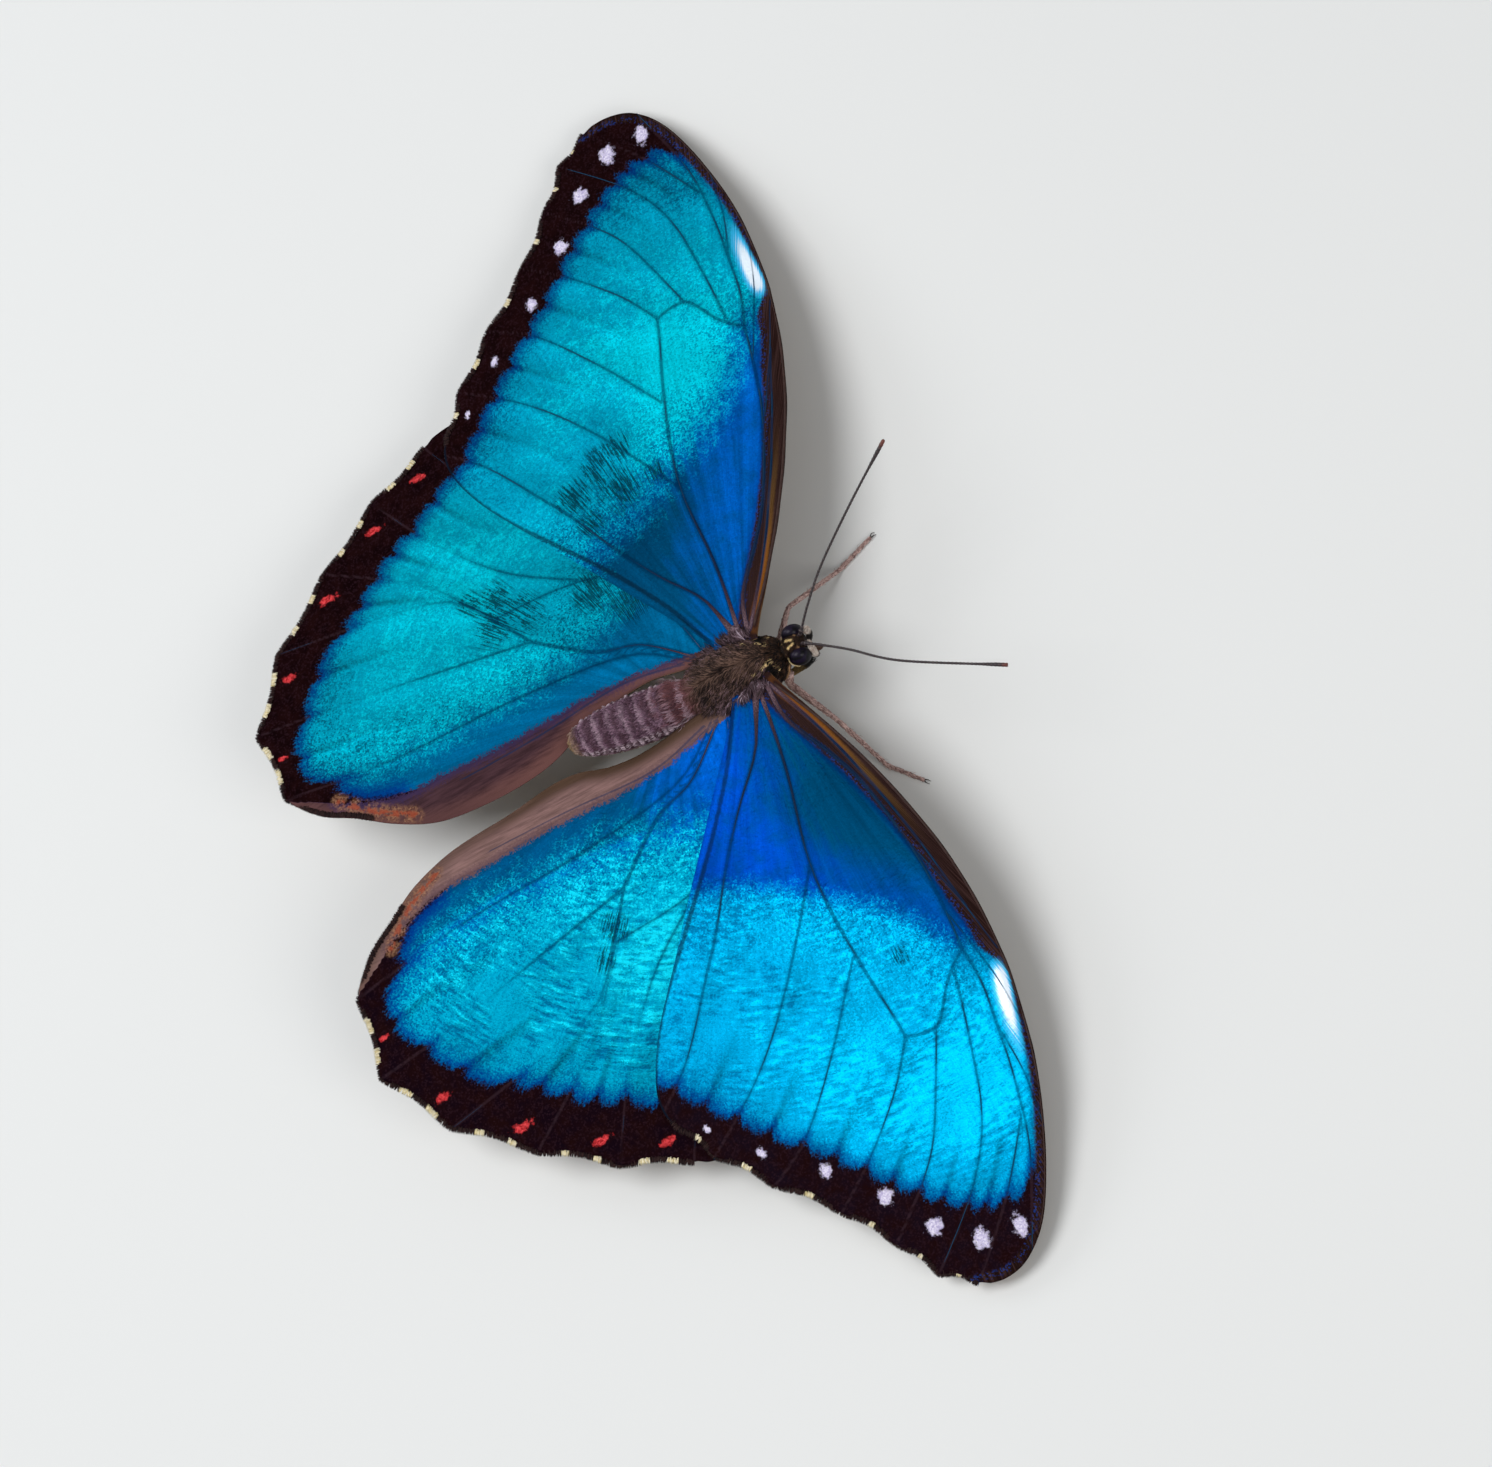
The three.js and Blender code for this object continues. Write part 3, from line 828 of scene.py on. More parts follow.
def wingGrid(wing, side):
    rays, steps = wing["rays"], wing["steps"]
    outline = evenly(wingOutline(wing), rays + 1)
    root = evenly(smoothCurve(wing["root"][side], 60), rays + 1)
    besideBody = softStep(outline[:, 1], -27, -15) * (np.arange(rays + 1) > rays * 0.6)
    outline = outline + np.outer(besideBody, [wing["innerShift"][side], 0])
    length = np.linalg.norm(outline - root, axis=1)
    fringed = 1 - softStep(toLine(outline, outerEdge(wing))[0], 0.2, 1.5)
    share = np.maximum(1 - (0.06 + membrane["fringe"] * fringed) / np.maximum(length, 1), 0.5)
    reach = np.linspace(0, 1, steps + 1)[None, :, None] ** 0.92
    plan = root[:, None] + (outline - root)[:, None] * share[:, None, None] * reach
    along = (length * share)[:, None] * reach[..., 0]
    across = np.repeat(lengthsAlong(outline)[:, None], steps + 1, 1)
    flat = plan.reshape(-1, 2)
    fields = wingFields(wing, flat, along.ravel(), across.ravel())
    if wing["foldEdge"]:
        innerStart = np.argmin(np.hypot(*(outline - wing["inner"][0]).T))
        foldRim = np.concatenate([outline[innerStart:], root[::-1][: int(rays * 0.9)]])
        fields["zones"][:, 2] = toLine(flat, evenly(foldRim, 90))[0]
    height = wing["height"](*flat.T)
    sag = membrane["sag"] * (1 - bump(fields["veins"][:, 1], 1.5))
    pleat = membrane["pleat"] * bump(fields["veins"][:, 2], 0.45)
    edgeShare = reach[..., 0].repeat(rays + 1, 0).ravel()
    wave = 0.06 * np.sin(flat[:, 0] * 0.9 + flat[:, 1] * 0.4) * softStep(edgeShare, 0.2, 0.7)
    height = height - sag + pleat + wave
    half = membrane["halfAtRoot"] + (membrane["halfAtEdge"] - membrane["halfAtRoot"]) * edgeShare
    return {"plan": flat, "height": height, "half": half, "fields": fields}


def wingShell(wing, side, grid):
    # Each ray runs out over the top and back underneath, so the membrane is closed.
    rays, steps = wing["rays"], wing["steps"]
    loop = 2 * steps + 2
    order = np.concatenate([np.arange(steps + 1), np.arange(steps, -1, -1)])
    index = (np.arange(rays + 1)[:, None] * (steps + 1) + order[None]).ravel()
    above = np.tile(np.where(np.arange(loop) <= steps, 1.0, -1.0), rays + 1)
    height = grid["height"][index] + above * grid["half"][index]
    points = placeWing(wing, side, grid["plan"][index], height)
    faces = ringFaces(rays + 1, loop)
    under = (np.tile(np.arange(loop), rays) > steps).astype(int)
    k = np.arange(steps)
    last = rays * loop
    startCap = np.stack([k, k + 1, loop - 2 - k, loop - 1 - k], 1)
    endCap = np.stack([last + k + 1, last + k, last + loop - 1 - k, last + loop - 2 - k], 1)
    fields = {key: values[index] for key, values in grid["fields"].items()}
    fields["tones"] = wingMarksAndLight(wing, side, fields)
    low, high = grid["plan"].min(0) - 0.5, grid["plan"].max(0) + 0.5
    span = (high - low).max()
    flatMap = (grid["plan"][index] - low) / span * [0.98, 0.48] * (span / (high - low)) + [0.01, 0.01]
    flatMap[:, 1] += np.where(above > 0, 0.0, 0.5)
    faces = flipped(points, [np.concatenate([faces, startCap, endCap])])
    shape = {"points": points, "faces": faces, "fields": fields}
    return shape, np.concatenate([under, np.zeros(2 * steps, int)]), flatMap


def veinTubes(wing, kind, side):
    shapes = []
    for name, (start, end, route) in veinRoutes(wing).items():
        height = wing["height"](*route.T)
        path = placeWing(wing, side, route, height - 0.01)
        reach = np.hypot(*route.T)
        radii = np.linspace(start, end, len(route)) * (0.95 - 0.35 * softStep(reach, 8, 30))
        if kind == "hindwing":
            radii = radii * (0.8 - 0.45 * softStep(reach, 20, 29))
        elif name in wing["thickAtRoot"]:
            radii = radii + wing["thickAtRoot"][name] * bump(reach, 3.2)
        radii[-1] *= 0.4
        shape = tube(path, radii, around=8)
        upper = np.sin(np.linspace(0, 2 * np.pi, 8, endpoint=False))
        shape["fields"]["above"] = np.append(np.tile(upper, len(route)), [0, 0])
        reach = np.append(np.repeat(reach, 8), [0, 99])
        shape["fields"]["flow"] = np.stack([reach, reach * 0, reach * 0], 1)
        shapes.append(shape)
    return joined(shapes)


def costalRib(wing, side):
    # The front edge is a stiff rib that thins toward the tip.
    line = smoothCurve(wing["costa"], 110)[:-14]
    ahead = unit(np.gradient(line, axis=0))
    line = line + np.stack([ahead[:, 1], -ahead[:, 0]], 1) * 0.15
    path = placeWing(wing, side, line, wing["height"](*line.T))
    shape = tube(path, np.linspace(0.17, 0.05, len(line)), around=8)
    plan = np.c_[line, np.zeros(len(line))].repeat(8, 0)
    shape["fields"]["plan"] = np.append(plan, [[0, 0, 0]] * 2, 0)
    return shape


fringe = {
    "spacing": 0.05, "length": (0.42, 0.62), "width": (0.1, 0.15),
    "innerShare": {"forewing": 0.06, "hindwing": 0.3}, "creamHalf": {"forewing": 0.05, "hindwing": 0.07},
}


def fringeScales(wing, kind, side, rng):
    # Hair scales stand out along the outer edge and part of the inner edge.
    inner = smoothCurve(wing["inner"], 200)
    edge = np.concatenate([outerEdge(wing), inner[1 : int(200 * fringe["innerShare"][kind])]])
    outerShare = lengthsAlong(outerEdge(wing))[-1] / lengthsAlong(edge)[-1]
    edge = evenly(edge, int(lengthsAlong(edge)[-1] / fringe["spacing"]))
    count = len(edge)
    ahead = unit(np.gradient(edge, axis=0))
    outward = np.stack([-ahead[:, 1], ahead[:, 0]], 1)
    lies = unit(outward + ahead * rng.normal(0, 0.16, (count, 1)))
    lengths = rng.uniform(*fringe["length"], count)
    roots = edge - outward * (lengths[:, None] - rng.uniform(0, 0.12, (count, 1)))

    def place(plan):
        return placeWing(wing, side, plan, wing["height"](*plan.T))

    start = place(roots) + rng.normal(0, 0.02, (count, 1)) * [0, 0, 1]
    toward = place(roots + lies * 0.5) - place(roots)
    upward = np.tile([0.0, 0, 1], (count, 1))
    shape = tufts(start, toward, upward, lengths, rng.uniform(*fringe["width"], count), thickness=0.25)
    _, _, along = toLine(edge, np.array(wing["veinEnds"], float))
    cell = along * (len(wing["veinEnds"]) - 1)
    cream = np.min([np.abs(cell % 1 - mark) for mark in wing["creamMarks"]], axis=0)
    share = np.linspace(0, 1, count)
    half = fringe["creamHalf"][kind] * (0.8 + 0.4 * np.sin(np.floor(cell) * 5.1))
    pale = np.where(share < outerShare, 1 - softStep(cream, half, half + 0.03), 0)
    shape["fields"] = {"pale": perTuft(pale), "tint": perTuft(rng.uniform(0, 1, count))}
    return shape, tuftMap(np.stack([0.01 + 0.98 * share, 0.05 + 0.9 * rng.uniform(size=count)], 1))


def buildMorphoPaint():
    blues = {
        "Dark Blue": colour(0, 96, 132), "Main Blue": colour(0, 146, 178),
        "Bright Blue": colour(0, 190, 216), "Deep Blue": colour(0, 74, 158),
        "Deep Shade": colour(0, 72, 120), "Margin Blue": colour(0, 34, 110), "Border": colour(24, 8, 12),
        "Fold": colour(82, 54, 64), "Fold Rim And Shade": colour(112, 76, 72), "Fold Seam": colour(50, 42, 84),
        "Deep Width": 4.0, "Shade From": -4.0, "Shade To": 5.0, "Shade Depth": 9.0, "Wrinkle Relief And Shading": 0.5,
    }
    tree, given, made = newGroup("morphoScales", blues, (*paintOutputs, "Metallic"))
    plan, flow = field(tree, "plan"), field(tree, "flow")
    veinAcross, veinGap, pleatGap = parts(field(tree, "veins"))
    blueEdge, costaGap, band = parts(field(tree, "edges"))
    deepGap, foldGap, innerGap = parts(field(tree, "zones"))
    outerGap, creamGap, orange = parts(field(tree, "rim"))
    pale, red, _ = parts(field(tree, "spots"))
    paintedLight, patch, scuff = parts(field(tree, "tones"))
    planX, planY, _ = parts(plan)
    _, _, veinShow = parts(flow)
    flow = stretched(flow, (1, 1, 0))

    # texture: scales in rows, grain, streaks along the veins and wrinkles across them
    scale, scaleGap = cells(stretched(plan, (7.0, 6.0, 1)), 1.0)
    grain = noise(plan, 3.0, 4, 0.7)
    mottle = noise(plan, 0.6, 5, 0.6)
    broad = noise(plan, 0.12, 3)
    streak = noise(stretched(flow, (0.12, 1.5, 1)), 1.0, 4, 0.6)
    ribbon = noise(stretched(flow, (0.05, 0.2, 1), (0, 3, 0)), 1.0, 3, 0.5)
    wrinkle = noise(stretched(flow, (1.9, 0.3, 1), (3, 7, 0)), 1.0, 2, 0.5)
    zone = fade(noise(plan, 0.14, 2), 0.35, 0.55) * fade(blueEdge, 0.5, 5)
    wrinkleReliefAndShading = centred(wrinkle, 1.0) * zone * given["Wrinkle Relief And Shading"]

    # painted light: blue from dark over main to bright, by place, by the painted highlights and shade,
    # by painted light and shade on the wrinkles, and by single scales that glint, most near the deep
    # blue's edge
    scaleGlints = fade(abs(deepGap), 9, 2, 0.3, 0.75)
    bright = paintedLight + centred(broad, 0.7) + centred(mottle, 0.3) + (scale - 0.5) * scaleGlints
    bright = bright + wrinkleReliefAndShading * 2.2 - fade(blueEdge, 8, 0, 0, 0.25)
    blue = mix(fade(bright, 0.0, 0.5), given["Dark Blue"], given["Main Blue"])
    blue = mix(fade(bright, 0.5, 1.0), blue, given["Bright Blue"])

    # painted reflection: deep blue toward the body, where the iridescent scales send back less light at
    # this angle; its edge soft and broken up by single scales
    loose = centred(scale, 0.35) + centred(mottle, 1.1)
    deepEdge = deepGap / given["Deep Width"] + loose
    patchy = planY + centred(ribbon, 9.0) + centred(broad, 9.0)
    shaded = fade(patchy, given["Shade From"], given["Shade To"], blend="LINEAR")
    deeper = fade(deepGap * -1, 0.0, given["Shade Depth"], 0.35, blend="LINEAR")
    deep = mix(shaded * deeper, given["Deep Blue"], given["Deep Shade"])
    deep = mix(fade(mottle, 0.62, 0.3, 0, 0.45), deep, given["Deep Shade"])
    ribbonShade = fade(ribbon, 0.3, 0.7, 0.82, 1.16) * fade(paintedLight, 0, 0.6, 0.6, 1.08)
    blue = mix(fade(deepEdge, 0.5, -0.5), blue, shadeBy(deep, ribbonShade))

    # shading: scale rows, streaks, pleats near the margin, and a shadow beside each vein
    shade = (grain * 0.5 + 0.75) * (streak * 0.5 + 0.75) * (scale * 0.24 + 0.88)
    pleatShade = fade(pleatGap, 0.55, 0.0) * fade(blueEdge, 9, 1.5, 0, 0.42)
    veinShade = fade(veinGap, 0.45, 0.08, 0, 0.3) * veinShow
    shade = shade * (1.0 - calc("MAXIMUM", pleatShade, veinShade))
    paint = shadeBy(blue, shade)

    # the dark margin eats into the blue along veins and pleats
    lineGap = calc("MINIMUM", veinGap, pleatGap + 0.15)
    eaten = fade(lineGap, 1.0, 0.0, 0.0, 0.85)
    teeth = noise(stretched(flow, (0.5, 2.6, 1)), 1.0, 4, 0.75)
    ragged = centred(teeth, 1.9) + centred(scale, 0.5)
    marginEdge = blueEdge - eaten + ragged
    paint = mix(fade(marginEdge, 2.2, 0.1, 0.0, 0.8), paint, given["Margin Blue"])
    warm = mix(fade(mottle, 0.3, 0.7), given["Border"], colour(28, 10, 11))
    speckled = mix(fade(scale, 0.6, 0.95, 0, 0.4), warm, colour(48, 28, 36))
    speckled = mix(fade(veinGap, 0.22, 0.07, 0.0, 0.3), speckled, colour(66, 48, 56))
    paint = mix(fade(marginEdge, 0.3, -0.3), paint, speckled)

    # brown front edge, with blue specks on its inner side and an ochre streak near the body
    costaEdge = costaGap - band + centred(grain, 0.6)
    onForewing = fade(foldGap, -40, -45)
    besideCosta = fade(costaEdge, 0.8, 0.0, 0.0, 0.45) * fade(marginEdge, -0.2, 0.5)
    paint = mix(besideCosta, paint, given["Margin Blue"])
    lengthwise = noise(stretched(flow, (0.12, 3.5, 1)), 1.0, 4, 0.6)
    brown = mix(fade(lengthwise, 0.4, 0.8), colour(30, 17, 15), colour(76, 54, 52))
    specks = fade(scale, 0.72, 0.82) * fade(costaEdge, -0.9, -0.1, 0, 0.5)
    brown = mix(specks, brown, colour(12, 66, 150))
    paint = mix(fade(costaEdge, 0.2, -0.2), paint, brown)
    orangeEdge = orange + centred(grain, 1.2)
    ochre = mix(fade(planX, 4, 13), colour(150, 90, 30), colour(116, 86, 46))
    ochre = mix(fade(lengthwise, 0.6, 0.3, 0, 0.9), ochre, colour(58, 34, 18))
    ochreGap = abs(costaGap - fade(planX, 2, 14, 0.5, 1.0))
    ochreGap = ochreGap + centred(lengthwise, 0.5) + centred(grain, 0.3)
    onCosta = onForewing * fade(planX, 22, 6, 0.0, 0.9) * fade(planX, 0.5, 3.0, 0.25, 1)
    paint = mix(onCosta * fade(ochreGap, 0.5, 0.1), paint, ochre)
    patchRagged = patch + centred(lengthwise, 0.9)
    paint = mix(fade(patchRagged, 1.2, 0.8, 0, 0.9), paint, colour(60, 184, 236))
    paint = mix(fade(patchRagged, 0.85, 0.5), paint, colour(226, 238, 248))

    # painted shadow: a dark line along the inner edge of a forewing, where it lies over the hindwing
    innerShadowGap = innerGap + centred(grain, 0.3)
    paint = mix(onForewing * fade(innerShadowGap, 0.36, 0.1, 0, 0.7), paint, colour(6, 28, 44))

    # spots and the cream marks of the fringe
    spotNoise = centred(noise(plan, 1.7, 3, 0.6), 2.0)
    paleEdge = pale + spotNoise + centred(scale, 0.25)
    paleTone = mix(scale, colour(176, 166, 204), colour(232, 226, 244))
    paint = mix(fade(paleEdge, 1.25, 0.7), paint, paleTone)
    redEdge = red + spotNoise + centred(scale, 0.3)
    redTone = mix(scale, colour(150, 30, 34), colour(226, 72, 76))
    paint = mix(fade(redEdge, 1.08, 0.6), paint, redTone)
    creamMask = fade(creamGap, 0.48, 0.25) * fade(outerGap, 0.4, 0.25)
    paint = mix(creamMask, paint, colour(206, 190, 146))

    # inner fold: brown hair with a rim tone along its inner edge, paler on the left wing and a painted
    # shade on the right where the fold goes under the abdomen; orange and cream where it meets the outer
    # edge
    foldEdge = foldGap + centred(mottle, 0.8) + centred(scale, 0.5)
    foldHair = noise(stretched(plan, (3.2, 0.3, 1)), 1.0, 4, 0.65)
    foldTone = mix(fade(foldHair, 0.3, 0.7), given["Fold"], shadeBy(given["Fold"], 0.55))
    foldRimAndShadeMask = fade(innerGap + centred(foldHair, 1.6), 1.9, 0.4) * fade(planY, -34, -20, 0.45, 0.85)
    foldTone = mix(foldRimAndShadeMask, foldTone, given["Fold Rim And Shade"])
    seamMask = fade(foldEdge + centred(foldHair, 1.2), 1.3, 0.2, 0.0, 0.6)
    foldTone = mix(seamMask, foldTone, given["Fold Seam"])
    paint = mix(fade(foldEdge, -0.15, 0.25), paint, foldTone)
    onTornus = fade(planY, -28, -30)
    orangeBreaks = noise(plan, 0.9, 3, 0.6)
    cream = mix(scale, colour(92, 54, 48), colour(168, 124, 92))
    creamMask = fade(orangeEdge, 2.6, 1.2, 0, 0.6) * fade(orangeBreaks, 0.36, 0.52)
    paint = mix(onTornus * creamMask, paint, cream)
    tornusRed = fade(orangeEdge, 1.0, 0.3, 0, 0.7) * fade(orangeBreaks, 0.42, 0.54)
    paint = mix(onTornus * tornusRed, paint, colour(152, 66, 44))

    # scuffed places have lost scales, and the veins are bare
    torn = noise(stretched(flow, (0.22, 1.6, 1)), 1.5, 4, 0.72)
    worn = noise(plan, 1.6, 4, 0.7)
    lost = torn + centred(worn, 0.3) + scuff * 0.12 + centred(scale, 0.12)
    lostMask = fade(lost, 0.55, 0.62) * fade(scuff, 0.05, 0.5, 0, 0.85)
    paint = mix(lostMask, paint, colour(3, 34, 46))
    onBlue = fade(marginEdge, -0.2, 0.5)
    veinMask = fade(abs(veinAcross), 1.5, 0.8) * fade(veinGap, 0.6, 0.4) * veinShow
    paint = mix(veinMask * onBlue * 0.5, paint, colour(0, 44, 78))

    isBlue = onBlue * fade(costaEdge, 0, 0.5) * fade(foldEdge, 0.2, -0.4)
    paint.into(made["Color"])
    (isBlue * -0.22 + scale * 0.1 + 0.6).into(made["Roughness"])
    (isBlue * 0.35).into(made["Metallic"])
    (scaleGap * -0.35 + wrinkleReliefAndShading * 3.0 + streak * 0.5).into(made["Height"])
    return tree


def buildUndersidePaint():
    inputs = {"Ground": colour(120, 88, 58), "Dark": colour(62, 40, 26), "Pale": colour(196, 172, 132)}
    tree, given, made = newGroup("undersideScales", inputs, paintOutputs)
    plan, flow = field(tree, "plan"), field(tree, "flow")
    _, veinGap, _ = parts(field(tree, "veins"))
    _, foldGap, _ = parts(field(tree, "zones"))
    outerGap, creamGap, _ = parts(field(tree, "rim"))
    _, _, ocellus = parts(field(tree, "spots"))
    scale, scaleGap = cells(stretched(plan, (7.0, 6.0, 1)), 1.0)
    grain = noise(plan, 2.6, 5, 0.75)
    mottle = noise(plan, 0.3, 4, 0.6)
    paint = mix(fade(mottle, 0.35, 0.65), given["Ground"], given["Dark"])
    paint = mix(fade(grain, 0.35, 0.75, 0, 0.35), paint, given["Pale"])

    # pale wavy bands cross the wing at set distances from the body
    distance = through("ShaderNodeVectorMath", {0: plan}, "Value", operation="LENGTH")
    wavy = distance + centred(noise(plan, 0.14, 3), 14.0)
    wavyBands = ((9.5, 0.8, 0.7), (19.5, 1.0, 0.85), (25.5, 0.5, 0.6), (33.0, 1.1, 0.8))
    for middle, half, share in wavyBands:
        gap = abs(wavy - middle)
        paint = mix(fade(gap, half * 2.1, half * 1.5, 0, 0.55), paint, colour(44, 28, 20))
        paint = mix(fade(gap, half, half * 0.5, 0, share), paint, given["Pale"])

    # rings of each eye spot, from outside in, its pupil last
    wobble = ocellus + centred(grain, 0.08)
    rings = (
        (1.42, colour(86, 62, 42)), (1.25, colour(206, 188, 150)), (1.12, colour(52, 32, 22)),
        (1.0, colour(206, 158, 62)),
        (0.74, colour(14, 10, 12)), (0.3, colour(120, 130, 160)), (0.16, colour(240, 240, 240)),
    )
    for radius, tone in rings:
        paint = mix(fade(wobble, radius + 0.05, radius - 0.05), paint, tone)

    # lines that run beside the margin
    lineNoise = centred(noise(flow, 0.6, 3), 0.5)
    marginGap = outerGap + lineNoise
    marginLines = (
        (4.1, 0.35, colour(206, 186, 150)), (3.2, 0.3, colour(60, 36, 24)),
        (2.2, 0.45, colour(176, 84, 40)), (1.1, 0.25, colour(214, 196, 160)),
    )
    for middle, half, tone in marginLines:
        gap = abs(marginGap - middle)
        paint = mix(fade(gap, half * 1.4, half * 0.6, 0, 0.85), paint, tone)
    creamMask = fade(creamGap, 0.85, 0.6) * fade(outerGap, 0.85, 0.6)
    paint = mix(creamMask, paint, colour(232, 222, 184))
    paint = mix(fade(veinGap, 0.35, 0.12, 0, 0.7), paint, colour(168, 140, 104))
    paint = mix(fade(foldGap, -1.5, 0.5, 0, 0.6), paint, colour(150, 128, 104))
    shadeBy(paint, scale * 0.4 + 0.8).into(made["Color"])
    (scale * 0.15 + 0.62).into(made["Roughness"])
    (scaleGap * -0.35 + grain * 0.3).into(made["Height"])
    return tree


# painted light: the blues of each wing differ by side as each side catches the light at its own angle,
# and the wrinkle shading is stronger on the right wings
wingTintsAndLight = {
    ("forewing", "left"): {
        "Dark Blue": colour(0, 98, 134), "Main Blue": colour(0, 148, 180),
        "Bright Blue": colour(0, 196, 216),
        "Deep Blue": colour(0, 84, 172), "Deep Shade": colour(0, 66, 104), "Border": colour(18, 6, 7),
        "Shade Depth": 3.0, "Wrinkle Relief And Shading": 0.3,
    },
    ("forewing", "right"): {
        "Dark Blue": colour(0, 106, 152), "Main Blue": colour(0, 144, 192),
        "Bright Blue": colour(0, 184, 236),
        "Deep Blue": colour(0, 66, 172), "Deep Shade": colour(0, 62, 98), "Border": colour(22, 12, 22),
        "Shade Depth": 6.0, "Wrinkle Relief And Shading": 0.9,
    },
    ("hindwing", "left"): {
        "Dark Blue": colour(0, 92, 118), "Main Blue": colour(0, 144, 170),
        "Bright Blue": colour(0, 182, 200),
        "Deep Blue": colour(0, 94, 140), "Deep Shade": colour(0, 80, 120), "Border": colour(16, 5, 7),
        "Fold": colour(76, 52, 58), "Shade Depth": 2.0, "Wrinkle Relief And Shading": 0.35,
    },
    ("hindwing", "right"): {
        "Dark Blue": colour(0, 92, 130), "Main Blue": colour(0, 136, 168),
        "Bright Blue": colour(10, 184, 208), "Deep Blue": colour(0, 82, 180),
        "Deep Shade": colour(0, 66, 108), "Border": colour(18, 7, 16), "Fold": colour(142, 110, 106),
        # painted shade: a dark rim where the fold goes under the abdomen
        "Fold Rim And Shade": colour(66, 50, 34), "Fold Seam": colour(80, 58, 70), "Shade Depth": 0.6,
        "Wrinkle Relief And Shading": 1.0,
    },
}


def veinMaterial():
    # Brown and fleshy at the root, then blue black above and tan below.
    material = newMaterial("wingVein", Roughness=0.5, Specular_IOR_Level=0.1)
    tree = material.node_tree
    above = level(tree, "above")
    reach, _, _ = parts(field(tree, "flow"))
    place = field(tree, "place")
    grain = noise(stretched(place, (1.6, 2.5, 2.5)), 2.5, 4, 0.7)
    spread = fade(grain, 0.35, 0.65)
    top = mix(spread, colour(2, 18, 40), colour(4, 40, 78))
    top = mix(fade(reach, 10, 34, 0, 0.75), top, colour(0, 66, 98))
    top = mix(
        fade(reach + centred(grain, 5.0), 8, 3), top, mix(spread, colour(34, 20, 24), colour(78, 54, 62))
    )
    pale = fade(reach, 4.0, 1.0) * fade(grain, 0.45, 0.62, 0.2, 1)
    top = mix(pale, top, colour(134, 108, 118))
    tone = mix(fade(above, -0.2, 0.2), colour(150, 122, 90), top)
    dress(material, tone, grain, 0.6, 0.06)
    return material


def ribMaterial():
    material = newMaterial("costalRib", Roughness=0.55, Specular_IOR_Level=0.2)
    tree = material.node_tree
    plan = field(tree, "plan")
    grain = noise(stretched(plan, (0.8, 4, 1)), 1.0, 4)
    brown = mix(grain, colour(28, 16, 14), colour(74, 50, 44))
    dress(material, brown)
    return material


def fringeMaterial():
    material = newMaterial("fringeScales", Roughness=0.7, Specular_IOR_Level=0.15)
    tree = material.node_tree
    pale = level(tree, "pale")
    tint = level(tree, "tint")
    dark = mix(tint, colour(20, 8, 12), colour(56, 36, 34))
    cream = mix(tint, colour(214, 196, 140), colour(246, 238, 214))
    dress(material, mix(fade(pale, 0.35, 0.65), dark, cream))
    return material


def buildWings():
    morphoPaint, underPaint = buildMorphoPaint(), buildUndersidePaint()
    underside = groupMaterial("undersideScales", underPaint, {}, 0.5, 0.06, Specular_IOR_Level=0.2)
    veinFinish = veinMaterial()
    ribFinish, fringeFinish = ribMaterial(), fringeMaterial()
    for kind, wing in (("forewing", forewing), ("hindwing", hindwing)):
        for side in sides:
            grid = wingGrid(wing, side)
            rng = np.random.default_rng(11 if side == "left" else 12)
            name = f"{kind}_{side}"
            shades = dict(zip(("Shade From", "Shade To"), wing["shadeFrom"][side]))
            tints = {**wingTintsAndLight[kind, side], **shades, "Deep Width": wing["deepWidth"][side]}
            upper = groupMaterial(
                f"{kind}{side.title()}Blue", morphoPaint, tints, 0.55, 0.06, Specular_IOR_Level=0.0
            )
            shape, faceSlots, flatMap = wingShell(wing, side, grid)
            addPiece(f"{name}_membrane", shape, [upper, underside], (name,), flatMap, faceSlots)
            addPiece(f"{name}_veins", veinTubes(wing, kind, side), [veinFinish])
            if kind == "forewing":
                addPiece(f"{name}_rib", joined([costalRib(wing, side)]), [ribFinish])
            scales, fringeMap = fringeScales(wing, kind, side, rng)
            addPiece(f"{name}_fringe", scales, [fringeFinish], bakeMap=fringeMap)
    print("wings are built")


buildWings()


# ---- body skin

